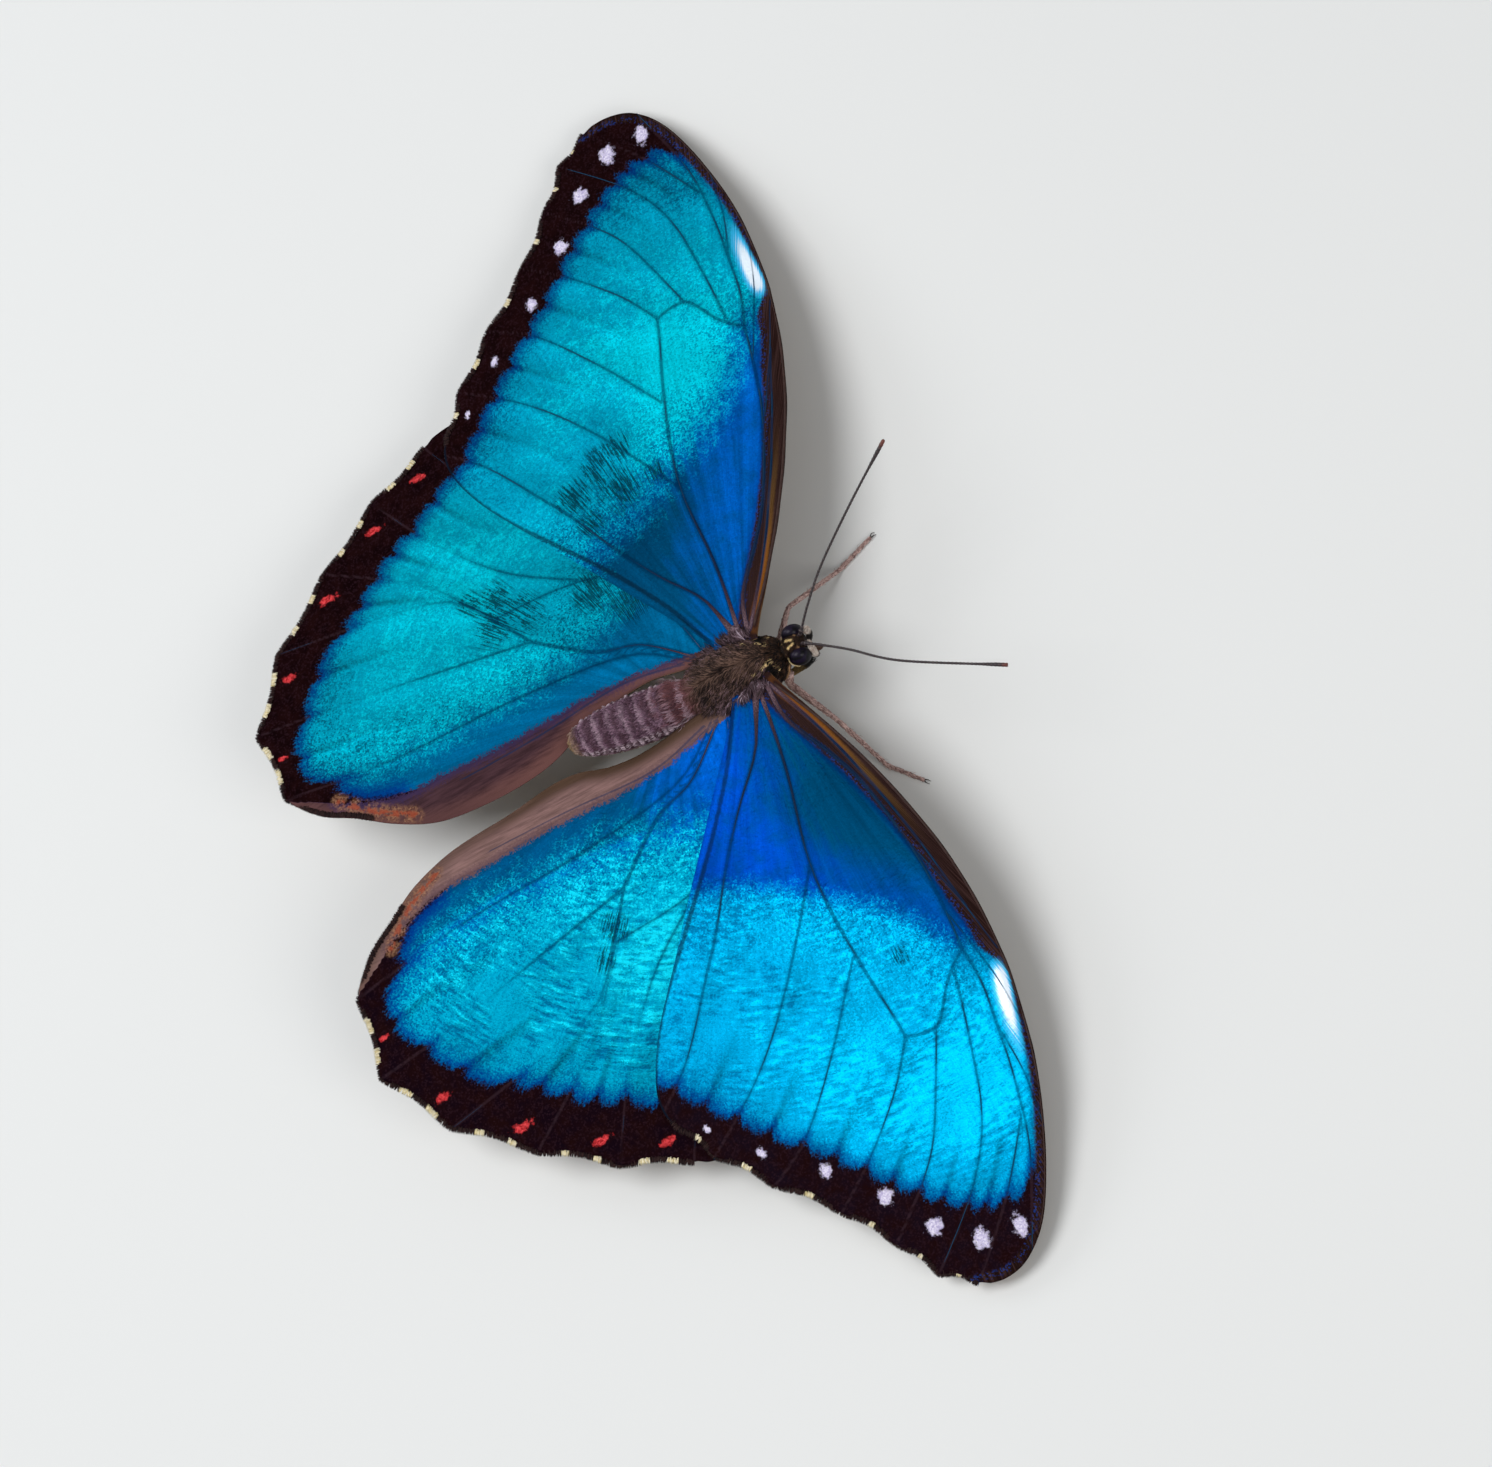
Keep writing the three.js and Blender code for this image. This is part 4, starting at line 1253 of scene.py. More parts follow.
bodyShape = {
    # behind the hinge, half width, height above and below the middle line, drop of the middle line
    "stations": [
        (-5.12, 0.25, 0.22, 0.22, 1.75), (-4.98, 0.62, 0.55, 0.6, 1.73), (-4.6, 0.98, 0.98, 1.05, 1.7),
        (-4.1, 1.18, 1.22, 1.22, 1.66), (-3.5, 1.14, 1.2, 1.14, 1.64), (-3.0, 0.87, 0.94, 0.92, 1.66),
        (-2.66, 0.72, 0.8, 0.76, 1.75), (-2.42, 0.95, 1.0, 0.9, 1.85), (-2.05, 1.55, 1.45, 1.5, 1.93),
        (-1.6, 1.98, 1.9, 2.0, 1.95), (-1.2, 2.12, 2.02, 2.2, 1.94), (-0.85, 2.26, 2.2, 2.35, 1.92),
        (0, 2.6, 2.62, 2.75, 1.9), (1.4, 2.84, 2.9, 2.95, 1.9), (2.9, 2.9, 2.98, 3.0, 1.9),
        (4.4, 2.8, 2.85, 2.9, 1.9), (5.8, 2.5, 2.5, 2.55, 1.9), (7.0, 2.05, 2.05, 2.1, 1.9),
        (7.7, 1.82, 1.8, 1.8, 1.9), (8.3, 1.88, 1.78, 1.8, 1.9), (9.4, 2.12, 1.95, 1.98, 1.9),
        (11.5, 2.36, 2.18, 2.2, 1.9), (13.6, 2.42, 2.24, 2.26, 1.9), (15.8, 2.34, 2.16, 2.18, 1.9),
        (17.9, 2.08, 1.92, 1.94, 1.9), (19.6, 1.68, 1.55, 1.55, 1.9), (20.7, 1.15, 1.05, 1.05, 1.9),
        (21.3, 0.62, 0.55, 0.55, 1.9), (21.5, 0.2, 0.18, 0.18, 1.9),
    ],
    "rings": 440,
    "around": 128,
    "segmentStart": 8.45,
    "segmentLength": 1.62,
    "midHeight": -1.85,
    "thorax": ((-0.4, 0.6), (6.6, 7.6)),     # where each part's relief fades in and out
    "abdomen": ((8.2, 9.0), (20.6, 21.3)),
    "seam": 4.9,          # across the thorax
    "groove": 0.5,        # along the thorax, from the top, in radians
    "pleuralAngle": 1.3,
    "pleats": 9.5,        # of the abdomen's sides, in radians per millimetre
    "lean": 1.2,          # of the abdomen's tip, toward the insect's left
    "leanFrom": 8,
    "leanLength": 13.6,
}
stationTable = smoothCurve(np.array(bodyShape["stations"]), 900)


def segmentPhase(behind):
    return (behind - bodyShape["segmentStart"]) / bodyShape["segmentLength"]


def leanAt(behind):
    share = np.clip((behind - bodyShape["leanFrom"]) / bodyShape["leanLength"], 0, 1)
    return bodyShape["lean"] * share**1.3


def within(behind, stretch):
    start, end = stretch
    return softStep(behind, *start) * (1 - softStep(behind, *end))


def skinPoint(behind, angle):
    # A point of the skin: angle is 0 at the top and grows toward the insect's left.
    at, *columns = stationTable.T
    wide, up, down, drop = (np.interp(behind, at, column) for column in columns)
    tall = np.where(np.cos(angle) > 0, up, down)
    phase = segmentPhase(behind + 0.1 * np.sin(angle * 3 + behind)) % 1
    lap = 0.09 * phase - 0.1 * bump(np.minimum(phase, 1 - phase), 0.08)
    fromPleura = np.abs(angle) - bodyShape["pleuralAngle"]
    ruffle = 0.09 * np.sin(behind * bodyShape["pleats"]) * np.sin(behind * 2.3 + 1)
    pleura = 0.1 * bump(fromPleura, 0.12) - 0.1 * bump(fromPleura - 0.26, 0.08)
    pleura = pleura + ruffle * bump(fromPleura, 0.2)
    fromSeam = behind - bodyShape["seam"] - 0.35 * np.abs(angle)
    fromGroove = np.abs(angle) - bodyShape["groove"]
    groove = -0.07 * bump(angle, 0.07) - 0.09 * bump(fromSeam, 0.16) - 0.1 * bump(fromGroove, 0.1)
    relief = within(behind, bodyShape["abdomen"]) * (lap + pleura)
    relief = relief + within(behind, bodyShape["thorax"]) * groove
    x, z = (wide + relief) * np.sin(angle) + leanAt(behind), (tall + relief) * np.cos(angle) - drop
    return np.stack([x, behind, z], -1)


def skinNormal(behind, angle):
    step = 1e-3
    alongSkin = skinPoint(behind + step, angle) - skinPoint(behind - step, angle)
    aroundSkin = skinPoint(behind, angle + step) - skinPoint(behind, angle - step)
    return unit(np.cross(alongSkin, aroundSkin))


# marks of the head, collar and shoulders, alike on both sides: start, end and half width
bodyMarks = {
    "cream": [
        ((0.36, -3.45, -0.5), (0.2, -4.0, -0.42), 0.17), ((0.8, -1.4, -0.1), (1.65, -1.58, -0.95), 0.19),
        ((1.15, -0.8, 0.05), (1.55, 0.6, 0.35), 0.17), ((2.39, -0.35, -1.22), (2.4, -0.3, -1.25), 0.17),
        ((0.6, -2.91, -1.07), (1.1, -2.95, -1.9), 0.15), ((1.0, -3.3, -2.6), (0.7, -4.4, -2.7), 0.2),
    ],
    "tan": [
        ((0.64, -4.28, -0.71), (0.6, -4.35, -0.72), 0.15),
        ((0.94, -3.5, -0.94), (0.95, -3.45, -0.95), 0.13), ((0.0, -3.0, -0.72), (0.0, -3.1, -0.7), 0.13),
        ((0.56, -2.7, -1.2), (0.6, -2.75, -1.25), 0.13), ((1.5, -2.1, -2.6), (1.7, -1.6, -3.0), 0.45),
    ],
    "dark": [((1.75, -0.75, -0.55), (2.2, 0.1, -0.5), 0.72)],
}


def markGap(points, marks):
    # Distance to the nearest mark, 1 at its rim.
    found = np.full(len(points), 9.0)
    oneSide = np.abs(points) * [1, 0, 0] + points * [0, 1, 1]
    for start, end, half in marks:
        start, step = np.array(start), np.subtract(end, start)
        t = np.clip((oneSide - start) @ step / (step @ step), 0, 1)
        gap = np.linalg.norm(oneSide - start - t[:, None] * step, axis=1)
        found = np.minimum(found, gap / half)
    return found


def skinFields(behind, angle, tint, shift=0.0):
    points = skinPoint(behind, angle) + shift
    return {
        "place": np.stack([np.sin(angle), np.cos(angle), behind], -1),
        "marks": np.stack([markGap(points, bodyMarks[tone]) for tone in ("cream", "tan", "dark")], 1),
        "tint": tint,
    }


def buildBodyPaint():
    # Skin and coat both read the place and the marks of the skin that they lie on.
    tree, given, made = newGroup("bodyMarkings", {"Lightness": 1.0}, paintOutputs)
    place = field(tree, "place")
    sideways, upward, behind = parts(place)
    cream, tan, dark = parts(field(tree, "marks"))
    spread = abs(sideways)
    tint = level(tree, "tint")
    spots = noise(stretched(place, (1.3, 1.3, 0.9)), 1.6, 4, 0.6)
    streaks = noise(stretched(place, (4.5, 4.5, 0.45)), 1.4, 4, 0.6)
    fine = noise(stretched(place, (5, 5, 2)), 1.8, 3, 0.6)
    varied = streaks + centred(spots, 0.5) + centred(tint, 0.3)

    # thorax: olive brown streaked with dark brown, mauve at the sides and in patches
    thorax = mix(fade(varied, 0.36, 0.66), colour(36, 24, 21), colour(114, 88, 76))
    mauve = spread * 0.24 + spots + centred(tint, 0.3)
    thorax = mix(fade(mauve, 0.64, 0.84, 0, 0.8), thorax, colour(118, 94, 102))
    thorax = mix(fade(behind, 5.6, 7.6, 0, 0.6), thorax, colour(116, 82, 72))
    thorax = mix(fade(upward, -0.15, -0.7, 0, 0.8), thorax, colour(150, 132, 116))

    # abdomen: red brown near the waist, then mauve with soft uneven bands and pale pleats at the sides
    abdomen = mix(fade(spots + centred(tint, 0.2), 0.3, 0.7), colour(80, 54, 70), colour(128, 98, 116))
    redder = behind + centred(spots, 9.0)
    abdomen = mix(fade(redder, 12.5, 8.5, 0, 0.75), abdomen, colour(124, 76, 74))
    phase = segmentPhase(behind) + centred(noise(stretched(place, (1, 1, 0.5)), 1.1, 3), 0.9)
    wave = calc("SINE", phase * 6.283)
    strength = fade(noise(stretched(place, (0.8, 0.8, 0.45), (5, 2, 9)), 1.0, 2), 0.3, 0.6, 0.35, 1)
    bands = wave * strength
    abdomen = mix(fade(bands, 0.05, 0.85, 0, 0.72), abdomen, colour(66, 40, 50))
    abdomen = mix(fade(bands, -0.2, -0.9, 0, 0.55), abdomen, colour(178, 152, 166))
    pleats = calc("SINE", behind * bodyShape["pleats"]) * 0.5 + 0.5
    pleatTone = mix(fade(pleats, 0.2, 0.85), colour(74, 52, 58), colour(196, 176, 186))
    pleuraGap = abs(upward - math.cos(bodyShape["pleuralAngle"])) + centred(fine, 0.22)
    abdomen = mix(fade(pleuraGap, 0.24, 0.08, 0, 0.75), abdomen, pleatTone)
    abdomen = mix(fade(upward, -0.05, -0.5, 0, 0.85), abdomen, colour(186, 172, 150))
    abdomen = mix(fade(behind, 19.8, 21.2, 0, 0.75), abdomen, colour(164, 136, 92))
    waist = behind + centred(streaks + tint, 1.4)
    paint = mix(fade(waist, 7.2, 8.6), thorax, abdomen)

    # collar and head: dark brown with tan and cream marks, and black shoulders
    headTone = mix(fade(fine + centred(tint, 0.4), 0.35, 0.8), colour(18, 11, 11), colour(70, 48, 34))
    paint = mix(fade(behind + centred(tint, 0.8), -0.5, -1.3), paint, headTone)
    paint = mix(fade(dark + centred(fine, 0.6), 1.15, 0.8), paint, colour(14, 9, 9))
    paint = mix(fade(tan + centred(fine, 0.8), 1.2, 0.75), paint, colour(172, 132, 96))
    paint = mix(fade(cream + centred(fine, 0.6), 1.15, 0.8), paint, colour(238, 208, 150))
    tintReach = fade(behind, 7.0, 9.0, 0.7, 0.35)
    shade = (1.0 + (tint - 0.5) * tintReach) * given["Lightness"] * (fine * 0.5 + 0.75)
    shadeBy(paint, shade).into(made["Color"])
    (fine * 0.2 + 0.6).into(made["Roughness"])
    pores = noise(place, 14, 3)
    (fine * 0.8 + pores).into(made["Height"])
    return tree


bodyPaint = buildBodyPaint()
skinFinish = groupMaterial("bodySkin", bodyPaint, {"Lightness": 0.7}, 0.5, 0.08, Specular_IOR_Level=0.2)
coatFinish = groupMaterial("bodyCoat", bodyPaint, {"Lightness": 1.05}, Specular_IOR_Level=0.2)


def buildSkin():
    rings, around = bodyShape["rings"], bodyShape["around"]
    at = stationTable[:, 0]
    shares = lengthsAlong(stationTable) / lengthsAlong(stationTable)[-1]
    behind = np.repeat(np.interp(np.linspace(0, 1, rings), shares, at), around)
    angle = np.tile(np.linspace(-np.pi, np.pi, around, endpoint=False), rings)
    shape = closedRings(skinPoint(behind, angle).reshape(rings, around, 3))
    tint = np.full(len(behind) + 2, 0.5)
    shape["fields"] = skinFields(np.append(behind, at[[0, -1]]), np.append(angle, [0, 0]), tint)
    nodes = ("head", "collar", "thorax", "abdomen")
    addPiece("body_skin", joined([shape]), [skinFinish], nodes)


def skinMap(behind, angle):
    return np.stack([(angle / np.pi + 1) / 2, (behind + 5.3) / 27.0], 1)


def coatShape(rng, layer):
    # Tufts strewn over a stretch of the skin, bent to follow it and lifted from it.
    count = layer["count"]
    back = rng.uniform(*layer["behind"], count)
    angle = rng.uniform(*layer["angles"], count) * rng.choice([-1, 1], count)
    roots, normals = skinPoint(back, angle), skinNormal(back, angle)
    middle = np.stack([leanAt(back), back, np.full(count, bodyShape["midHeight"])], 1)
    outward = np.sum(normals * (roots - middle) * [1, 0, 1], 1)
    normals = normals * np.where(outward < 0, -1, 1)[:, None]
    ways = mirrored(layer["lie"], np.sign(roots[:, 0])) + rng.normal(0, layerSpread, roots.shape)
    ways = unit(ways - normals * np.sum(ways * normals, 1, keepdims=True))
    ways = ways + normals * np.tan(np.radians(rng.uniform(*layer["lift"], count)))[:, None]
    lengths, widths = draws(rng, count, layer["length"], layer["width"])
    shape = tufts(roots, ways, normals, lengths, widths, droop=0.5)
    middle = unit(ways) * 0.5 * np.mean(layer["length"])
    fields = skinFields(back, angle, rng.uniform(0, 1, count), middle)
    shape["fields"] = {key: perTuft(values) for key, values in fields.items()}
    return shape, tuftMap(skinMap(back, angle))


layerSpread = 0.25  # how far single tufts stray from the lie
# behind and angles bound the stretch; lie points outward, backward and upward
coatLayers = {
    "thorax_coat": [
        {
            "count": 11500, "behind": (-1.0, 7.8), "angles": (0, 1.25), "lie": (0.55, 1, -0.05),
            "length": (0.8, 1.8), "width": (0.035, 0.065), "lift": (3, 14),
        },
        {
            "count": 4300, "behind": (-1.0, 7.8), "angles": (1.1, 3.14), "lie": (0, 1, 0),
            "length": (0.7, 1.3), "width": (0.045, 0.08), "lift": (6, 18),
        },
        {
            "count": 1500, "behind": (0.2, 6.5), "angles": (0.95, 1.35), "lie": (1.1, 0.75, 0.1),
            "length": (1.1, 2.3), "width": (0.04, 0.065), "lift": (8, 30),
        },
    ],
    "abdomen_coat": [
        {
            "count": 12500, "behind": (7.7, 21.2), "angles": (0, 3.14), "lie": (0, 1, 0),
            "length": (0.3, 0.5), "width": (0.08, 0.12), "lift": (1, 5),
        },
        {
            "count": 1500, "behind": (7.0, 10.0), "angles": (0, 2.0), "lie": (0, 1, 0),
            "length": (0.9, 1.7), "width": (0.045, 0.075), "lift": (4, 14),
        },
        {
            "count": 500, "behind": (20.0, 21.3), "angles": (0, 3.14), "lie": (0, 1, 0),
            "length": (0.5, 0.95), "width": (0.045, 0.075), "lift": (2, 12),
        },
    ],
    "head_coat": [
        {
            "count": 2200, "behind": (-5.0, -2.9), "angles": (0, 1.0), "lie": (0, -0.5, 1),
            "length": (0.2, 0.38), "width": (0.045, 0.075), "lift": (20, 60),
        },
        {
            "count": 1100, "behind": (-5.0, -2.9), "angles": (1.9, 3.14), "lie": (0, 1, 0),
            "length": (0.25, 0.5), "width": (0.05, 0.08), "lift": (10, 35),
        },
        {
            "count": 2300, "behind": (-2.5, -0.6), "angles": (0, 3.14), "lie": (0, 1, 0),
            "length": (0.45, 0.85), "width": (0.055, 0.09), "lift": (8, 24),
        },
        {
            "count": 900, "behind": (-3.2, -2.75), "angles": (0.5, 2.6), "lie": (0.9, 0.1, -0.4),
            "length": (0.3, 0.5), "width": (0.05, 0.08), "lift": (25, 60),
        },
    ],
}


def buildCoats():
    rng = np.random.default_rng(31)
    for name, layers in coatLayers.items():
        shapes, maps = zip(*(coatShape(rng, layer) for layer in layers))
        addPiece(name, joined(shapes), [coatFinish], bakeMap=np.concatenate(maps))


buildSkin()
buildCoats()
print("body skin and coat are built")


# ---- scale tufts where the wings join the body

shoulders = {
    # middle, half sizes along X, Y and Z, and how far the long axis turns back
    "knobs": [((3.15, 0.65, 0.3), (0.8, 0.52, 0.36), 20), ((2.9, 3.7, -0.9), (0.6, 0.5, 0.3), 35)],
    # start and end of each row of tufts, their direction, count and lengths
    "rows": [
        ((2.3, 0.4, 0.45), (2.9, 2.6, 0.1), (1.0, 0.35, 0.08), 230, (0.7, 1.4)),
        ((2.5, -0.3, 0.1), (2.6, 0.5, 0.35), (1.0, 0.2, 0.15), 90, (0.5, 0.9)),
        ((2.5, 2.6, -0.4), (2.7, 4.6, -1.0), (0.9, 0.75, 0.06), 220, (0.9, 1.7)),
        ((2.4, 4.6, -1.1), (2.2, 6.8, -1.6), (0.6, 1.0, 0.05), 190, (0.9, 1.8)),
    ],
    "rounding": 0.35,
    "scales": 420,
    "scaleLength": (0.18, 0.3),
    "scaleWidth": (0.06, 0.1),
}


def knobShape(middle, sizes, turn, sign, rng):
    # A rounded, slightly uneven sclerite with flat scales over it.
    rows, around = 26, 36
    polar = np.linspace(0.03, np.pi - 0.03, rows)[:, None]
    swing = np.linspace(0, 2 * np.pi, around, endpoint=False)[None]
    ball = [np.cos(polar) + 0 * swing, np.sin(polar) * np.cos(swing), np.sin(polar) * np.sin(swing)]
    ball = np.stack(ball, -1).reshape(-1, 3)
    uneven = 1 + 0.1 * np.sin(ball @ [5.1, 3.3, 4.2]) + 0.06 * np.sin(ball @ [9, -7, 8])
    taper = 1 - shoulders["rounding"] * ball[:, :1] * [0, 1, 1]
    flat = ball * uneven[:, None] * taper * sizes
    angle = math.radians(turn)
    turned = np.stack([
        flat[:, 0] * math.cos(angle) - flat[:, 1] * math.sin(angle),
        flat[:, 0] * math.sin(angle) + flat[:, 1] * math.cos(angle), flat[:, 2],
    ], 1)
    shape = closedRings(mirrored(turned + middle, sign).reshape(rows, around, 3))
    points = shape["points"]
    shape["fields"] = {"place": points, "tint": np.full(len(points), 0.5)}
    count = shoulders["scales"]
    pick = rng.integers(0, rows * around, count)
    normals = unit(points[pick] - mirrored(middle, sign))
    lies = unit(np.tile([sign * 0.8, 0.6, 0.0], (count, 1)) + rng.normal(0, 0.2, (count, 3)))
    lies = unit(lies - normals * np.sum(lies * normals, 1, keepdims=True) + normals * 0.2)
    lengths, widths = draws(rng, count, shoulders["scaleLength"], shoulders["scaleWidth"])
    scales = tinted(rng, tufts(points[pick], lies, normals, lengths, widths, 0.4), points[pick])
    spot = np.stack([0.02 + 0.46 * (pick % around) / around, 0.05 + 0.9 * (pick // around) / rows], 1)
    return shape, scales, tuftMap(spot)


def buildShoulders():
    material = newMaterial("shoulderScales", Roughness=0.65, Specular_IOR_Level=0.2)
    tree = material.node_tree
    place = field(tree, "place")
    tint = level(tree, "tint")
    patches = noise(place, 0.9, 3, 0.6) + centred(tint, 0.3)
    tone = mix(fade(patches, 0.34, 0.68), colour(44, 31, 32), colour(116, 92, 102))
    tone = mix(fade(patches, 0.64, 0.8), tone, colour(196, 176, 190))
    dress(material, tone)
    rng = np.random.default_rng(61)
    for side, sign in sides.items():
        shapes, maps, knobs = [], [], []
        for middle, sizes, turn in shoulders["knobs"]:
            knob, scales, bakeMap = knobShape(middle, sizes, turn, sign, rng)
            knobs.append(knob)
            shapes.append(scales)
            maps.append(bakeMap)
        for start, end, lie, count, length in shoulders["rows"]:
            along = rng.uniform(0, 1, (count, 1))
            roots = start + along * np.subtract(end, start) + rng.normal(0, 0.14, (count, 3))
            roots, ways = mirrored([roots, unit(lie + rng.normal(0, 0.28, (count, 3)))], sign)
            lengths, widths = draws(rng, count, length, shoulders["scaleWidth"])
            scales = tufts(roots, ways, np.tile([0, 0, 1.0], (count, 1)), lengths, widths, 0.5)
            shapes.append(tinted(rng, scales, roots))
            spot = np.stack([0.52 + 0.46 * rng.uniform(size=count), 0.03 + 0.94 * along[:, 0]], 1)
            maps.append(tuftMap(spot))
        addPiece(f"tegula_{side}", joined(knobs), [material])
        addPiece(
            f"shoulder_{side}_tufts", joined(shapes), [material], bakeMap=np.concatenate(maps)
        )


buildShoulders()
print("shoulders are built")


# ---- eyes and mouthparts

def scaledMaterial(name, low, high, mark=None, markZone=(0, 1), roughness=0.65, scale=5.0):
    # Two tones mixed by noise along a limb, with a third where its length crosses the mark's zone.
    material = newMaterial(name, Roughness=roughness)
    tree = material.node_tree
    place = field(tree, "place")
    along, _, _ = parts(place)
    tint = level(tree, "tint")
    grain = noise(stretched(place, (1, 1.4, 1.4)), scale, 4, 0.65)
    tone = mix(fade(grain + tint * 0.4 + -0.2, 0.3, 0.7), colour(*low), colour(*high))
    if mark:
        tone = mix(fade(along, *markZone), tone, colour(*mark))
    dress(material, tone, grain, 0.4, 0.03)
    return material


eyeShape = {
    "radius": 1.13, "squash": (0.76, 1.0, 1.04), "place": (1.25, -4.03, -1.5),
    "rimScales": 200, "rimLength": (0.2, 0.34), "rimWidth": (0.06, 0.1),
    "rimTurn": (-0.55, 0.95),  # from the rear, in radians
}


def buildEyes():
    material = newMaterial(
        "eyeFacets", Roughness=0.45, Specular_IOR_Level=0.12, Coat_Weight=0.12, Coat_Roughness=0.15
    )
    tree = material.node_tree
    place = field(tree, "place")
    _, _, rise = parts(place)
    # painted sheen: faint purple bands over the near-black facets, and darker toward the eye's underside
    bands = noise(stretched(place, (0.6, 0.6, 2.4)), 1.4, 2)
    tone = mix(fade(bands, 0.38, 0.62), colour(7, 5, 10), colour(26, 17, 38))
    tone = mix(fade(rise, 0.3, -0.6, 0, 0.9), tone, colour(8, 5, 7))
    dress(material, tone, cells(place, 16)[1], 0.35, 0.02, invert=True)
    rows, around = 48, 80
    polar = np.linspace(0.02, np.pi - 0.02, rows)[:, None]
    turn = np.linspace(0, 2 * np.pi, around, endpoint=False)[None]
    ball = [np.sin(polar) * np.cos(turn), np.sin(polar) * np.sin(turn), np.cos(polar) + 0 * turn]
    ball = np.stack(ball, -1)
    size = eyeShape["radius"] * np.array(eyeShape["squash"])
    for side, sign in sides.items():
        shape = closedRings(ball * size + mirrored(eyeShape["place"], sign))
        shape["fields"] = {"place": closedRings(ball)["points"]}
        addPiece(f"eye_{side}_facets", joined([shape]), [material], (f"eye_{side}",))
    rimFinish = scaledMaterial("eyeRimScales", (196, 168, 112), (240, 222, 178), scale=3)
    rng = np.random.default_rng(71)
    for side, sign in sides.items():
        # pale scales lie in a crescent along the rear rim of the eye
        count = eyeShape["rimScales"]
        turn = rng.uniform(*eyeShape["rimTurn"], count)
        backwardAxis, outwardAxis = np.array([0, 1.0, 0]), np.array([0.75, 0, -0.66])
        ring = np.outer(np.cos(turn), backwardAxis) + np.outer(np.sin(turn), outwardAxis)
        roots = np.array(eyeShape["place"]) + ring * size * rng.uniform(0.98, 1.1, (count, 1))
        lies = np.outer(-np.sin(turn), backwardAxis) + np.outer(np.cos(turn), outwardAxis)
        lies = lies + rng.normal(0, 0.14, (count, 3))
        lengths, widths = draws(rng, count, eyeShape["rimLength"], eyeShape["rimWidth"])
        scales = tufts(*mirrored([roots, lies, ring], sign), lengths, widths, 0.5)
        scales = tinted(rng, scales, roots)
        share = (turn - eyeShape["rimTurn"][0]) / np.ptp(eyeShape["rimTurn"])
        rimMap = tuftMap(np.stack([0.05 + 0.9 * share, rng.uniform(0.05, 0.95, count)], 1))
        addPiece(f"eye_{side}_rim", scales, [rimFinish], bakeMap=rimMap)


mouthparts = {
    "palp": [(0.66, -4.65, -3.75), (1.1, -5.08, -3.1), (1.22, -5.26, -2.1), (0.6, -5.5, -0.95)],
    "palpRadius": 0.33,
    "mouth": (0, -4.45, -3.4),
    "coilCentre": (0, -4.75, -4.55),
    "coilRadius": 0.74,
    "coilTurns": 2.6,
}


def limbScales(rng, path, radii, count, length, width, lift, stretch=(0, 1)):
    # Flat scales that lie along a limb, toward its end.
    at = lengthsAlong(path)
    where = rng.uniform(*stretch, count) * at[-1]
    centre = np.stack([np.interp(where, at, column) for column in path.T], 1)
    ahead = unit(np.stack([np.interp(where, at, column) for column in np.gradient(path, axis=0).T], 1))
    radius = np.interp(where, at, radii)
    side = unit(np.cross(ahead, [0.13, 0.21, 0.97]))
    over = np.cross(side, ahead)
    turn = rng.uniform(0, 2 * np.pi, count)[:, None]
    normal = np.cos(turn) * side + np.sin(turn) * over
    rise = np.tan(np.radians(rng.uniform(*lift, count)))[:, None]
    roots = centre + normal * radius[:, None] * 0.92
    lengths, widths = draws(rng, count, length, width)
    place = np.stack([where, np.cos(turn[:, 0]), np.sin(turn[:, 0])], 1)
    shape = tinted(rng, tufts(roots, ahead + normal * rise, normal, lengths, widths, 0.4), place)
    return shape, tuftMap(np.stack([turn[:, 0] / (2 * np.pi) % 1, where / at[-1]], 1))


def buildMouthparts():
    rng = np.random.default_rng(41)
    palpFinish = scaledMaterial("palpScales", (184, 162, 148), (238, 228, 218), (24, 15, 14), (1.6, 1.0))
    for side, sign in sides.items():
        path = smoothCurve(mirrored(mouthparts["palp"], sign), 40)
        share = np.linspace(0, 1, 40)
        swell = np.sin(np.pi * np.clip(share * 0.86 + 0.1, 0, 1)) ** 0.8
        radii = mouthparts["palpRadius"] * (0.25 + 0.75 * swell)
        addPlain(f"palp_{side}_limb", [tube(path, radii, 20)], palpFinish, (f"palp_{side}",))
        scales, bakeMap = limbScales(rng, path, radii, 900, (0.26, 0.46), (0.04, 0.07), (4, 18))
        addPiece(f"palp_{side}_scales", scales, [palpFinish], bakeMap=bakeMap)
    turn = np.linspace(0, mouthparts["coilTurns"] * 2 * np.pi, 170)
    size = mouthparts["coilRadius"] * (1 - 0.72 * turn / turn[-1])
    coil = np.stack([0.02 * np.sin(turn), -np.sin(turn) * size, np.cos(turn) * size], 1)
    path = mouthparts["coilCentre"] + coil
    mouth = np.array(mouthparts["mouth"])
    path = np.concatenate([mouth + np.linspace(0, 1, 12)[:-1, None] * (path[0] - mouth), path])
    radii = np.linspace(0.15, 0.08, len(path)) * (1 + 0.08 * np.sin(np.arange(len(path)) * 1.9))
    coilFinish = scaledMaterial("proboscisHorn", (44, 26, 18), (104, 66, 42), roughness=0.4, scale=3)
    addPlain("proboscis_coil", [tube(path, radii, 12)], coilFinish, ("proboscis",))


buildEyes()
buildMouthparts()
print("eyes and mouthparts are built")


# ---- antennae

antennae = {
    "left": [(0.62, -5.2, -0.5), (2.4, -7.3, 0.8), (5, -10.3, 1.9), (8.4, -15.8, 4.1), (11.6, -21.3, 6)],
    "right": [(0.62, -5.2, -0.5), (2.3, -7.6, 0.4), (4, -9.9, 1.1), (7.7, -14.6, 2.2), (12.8, -23.9, 3)],
    "root": (0.5, -4.66, -0.75),
    "radius": 0.135,
    "clubRadius": 0.21,
    "clubLength": 4.2,
    "ringLength": 0.42,
    "around": 14,
}


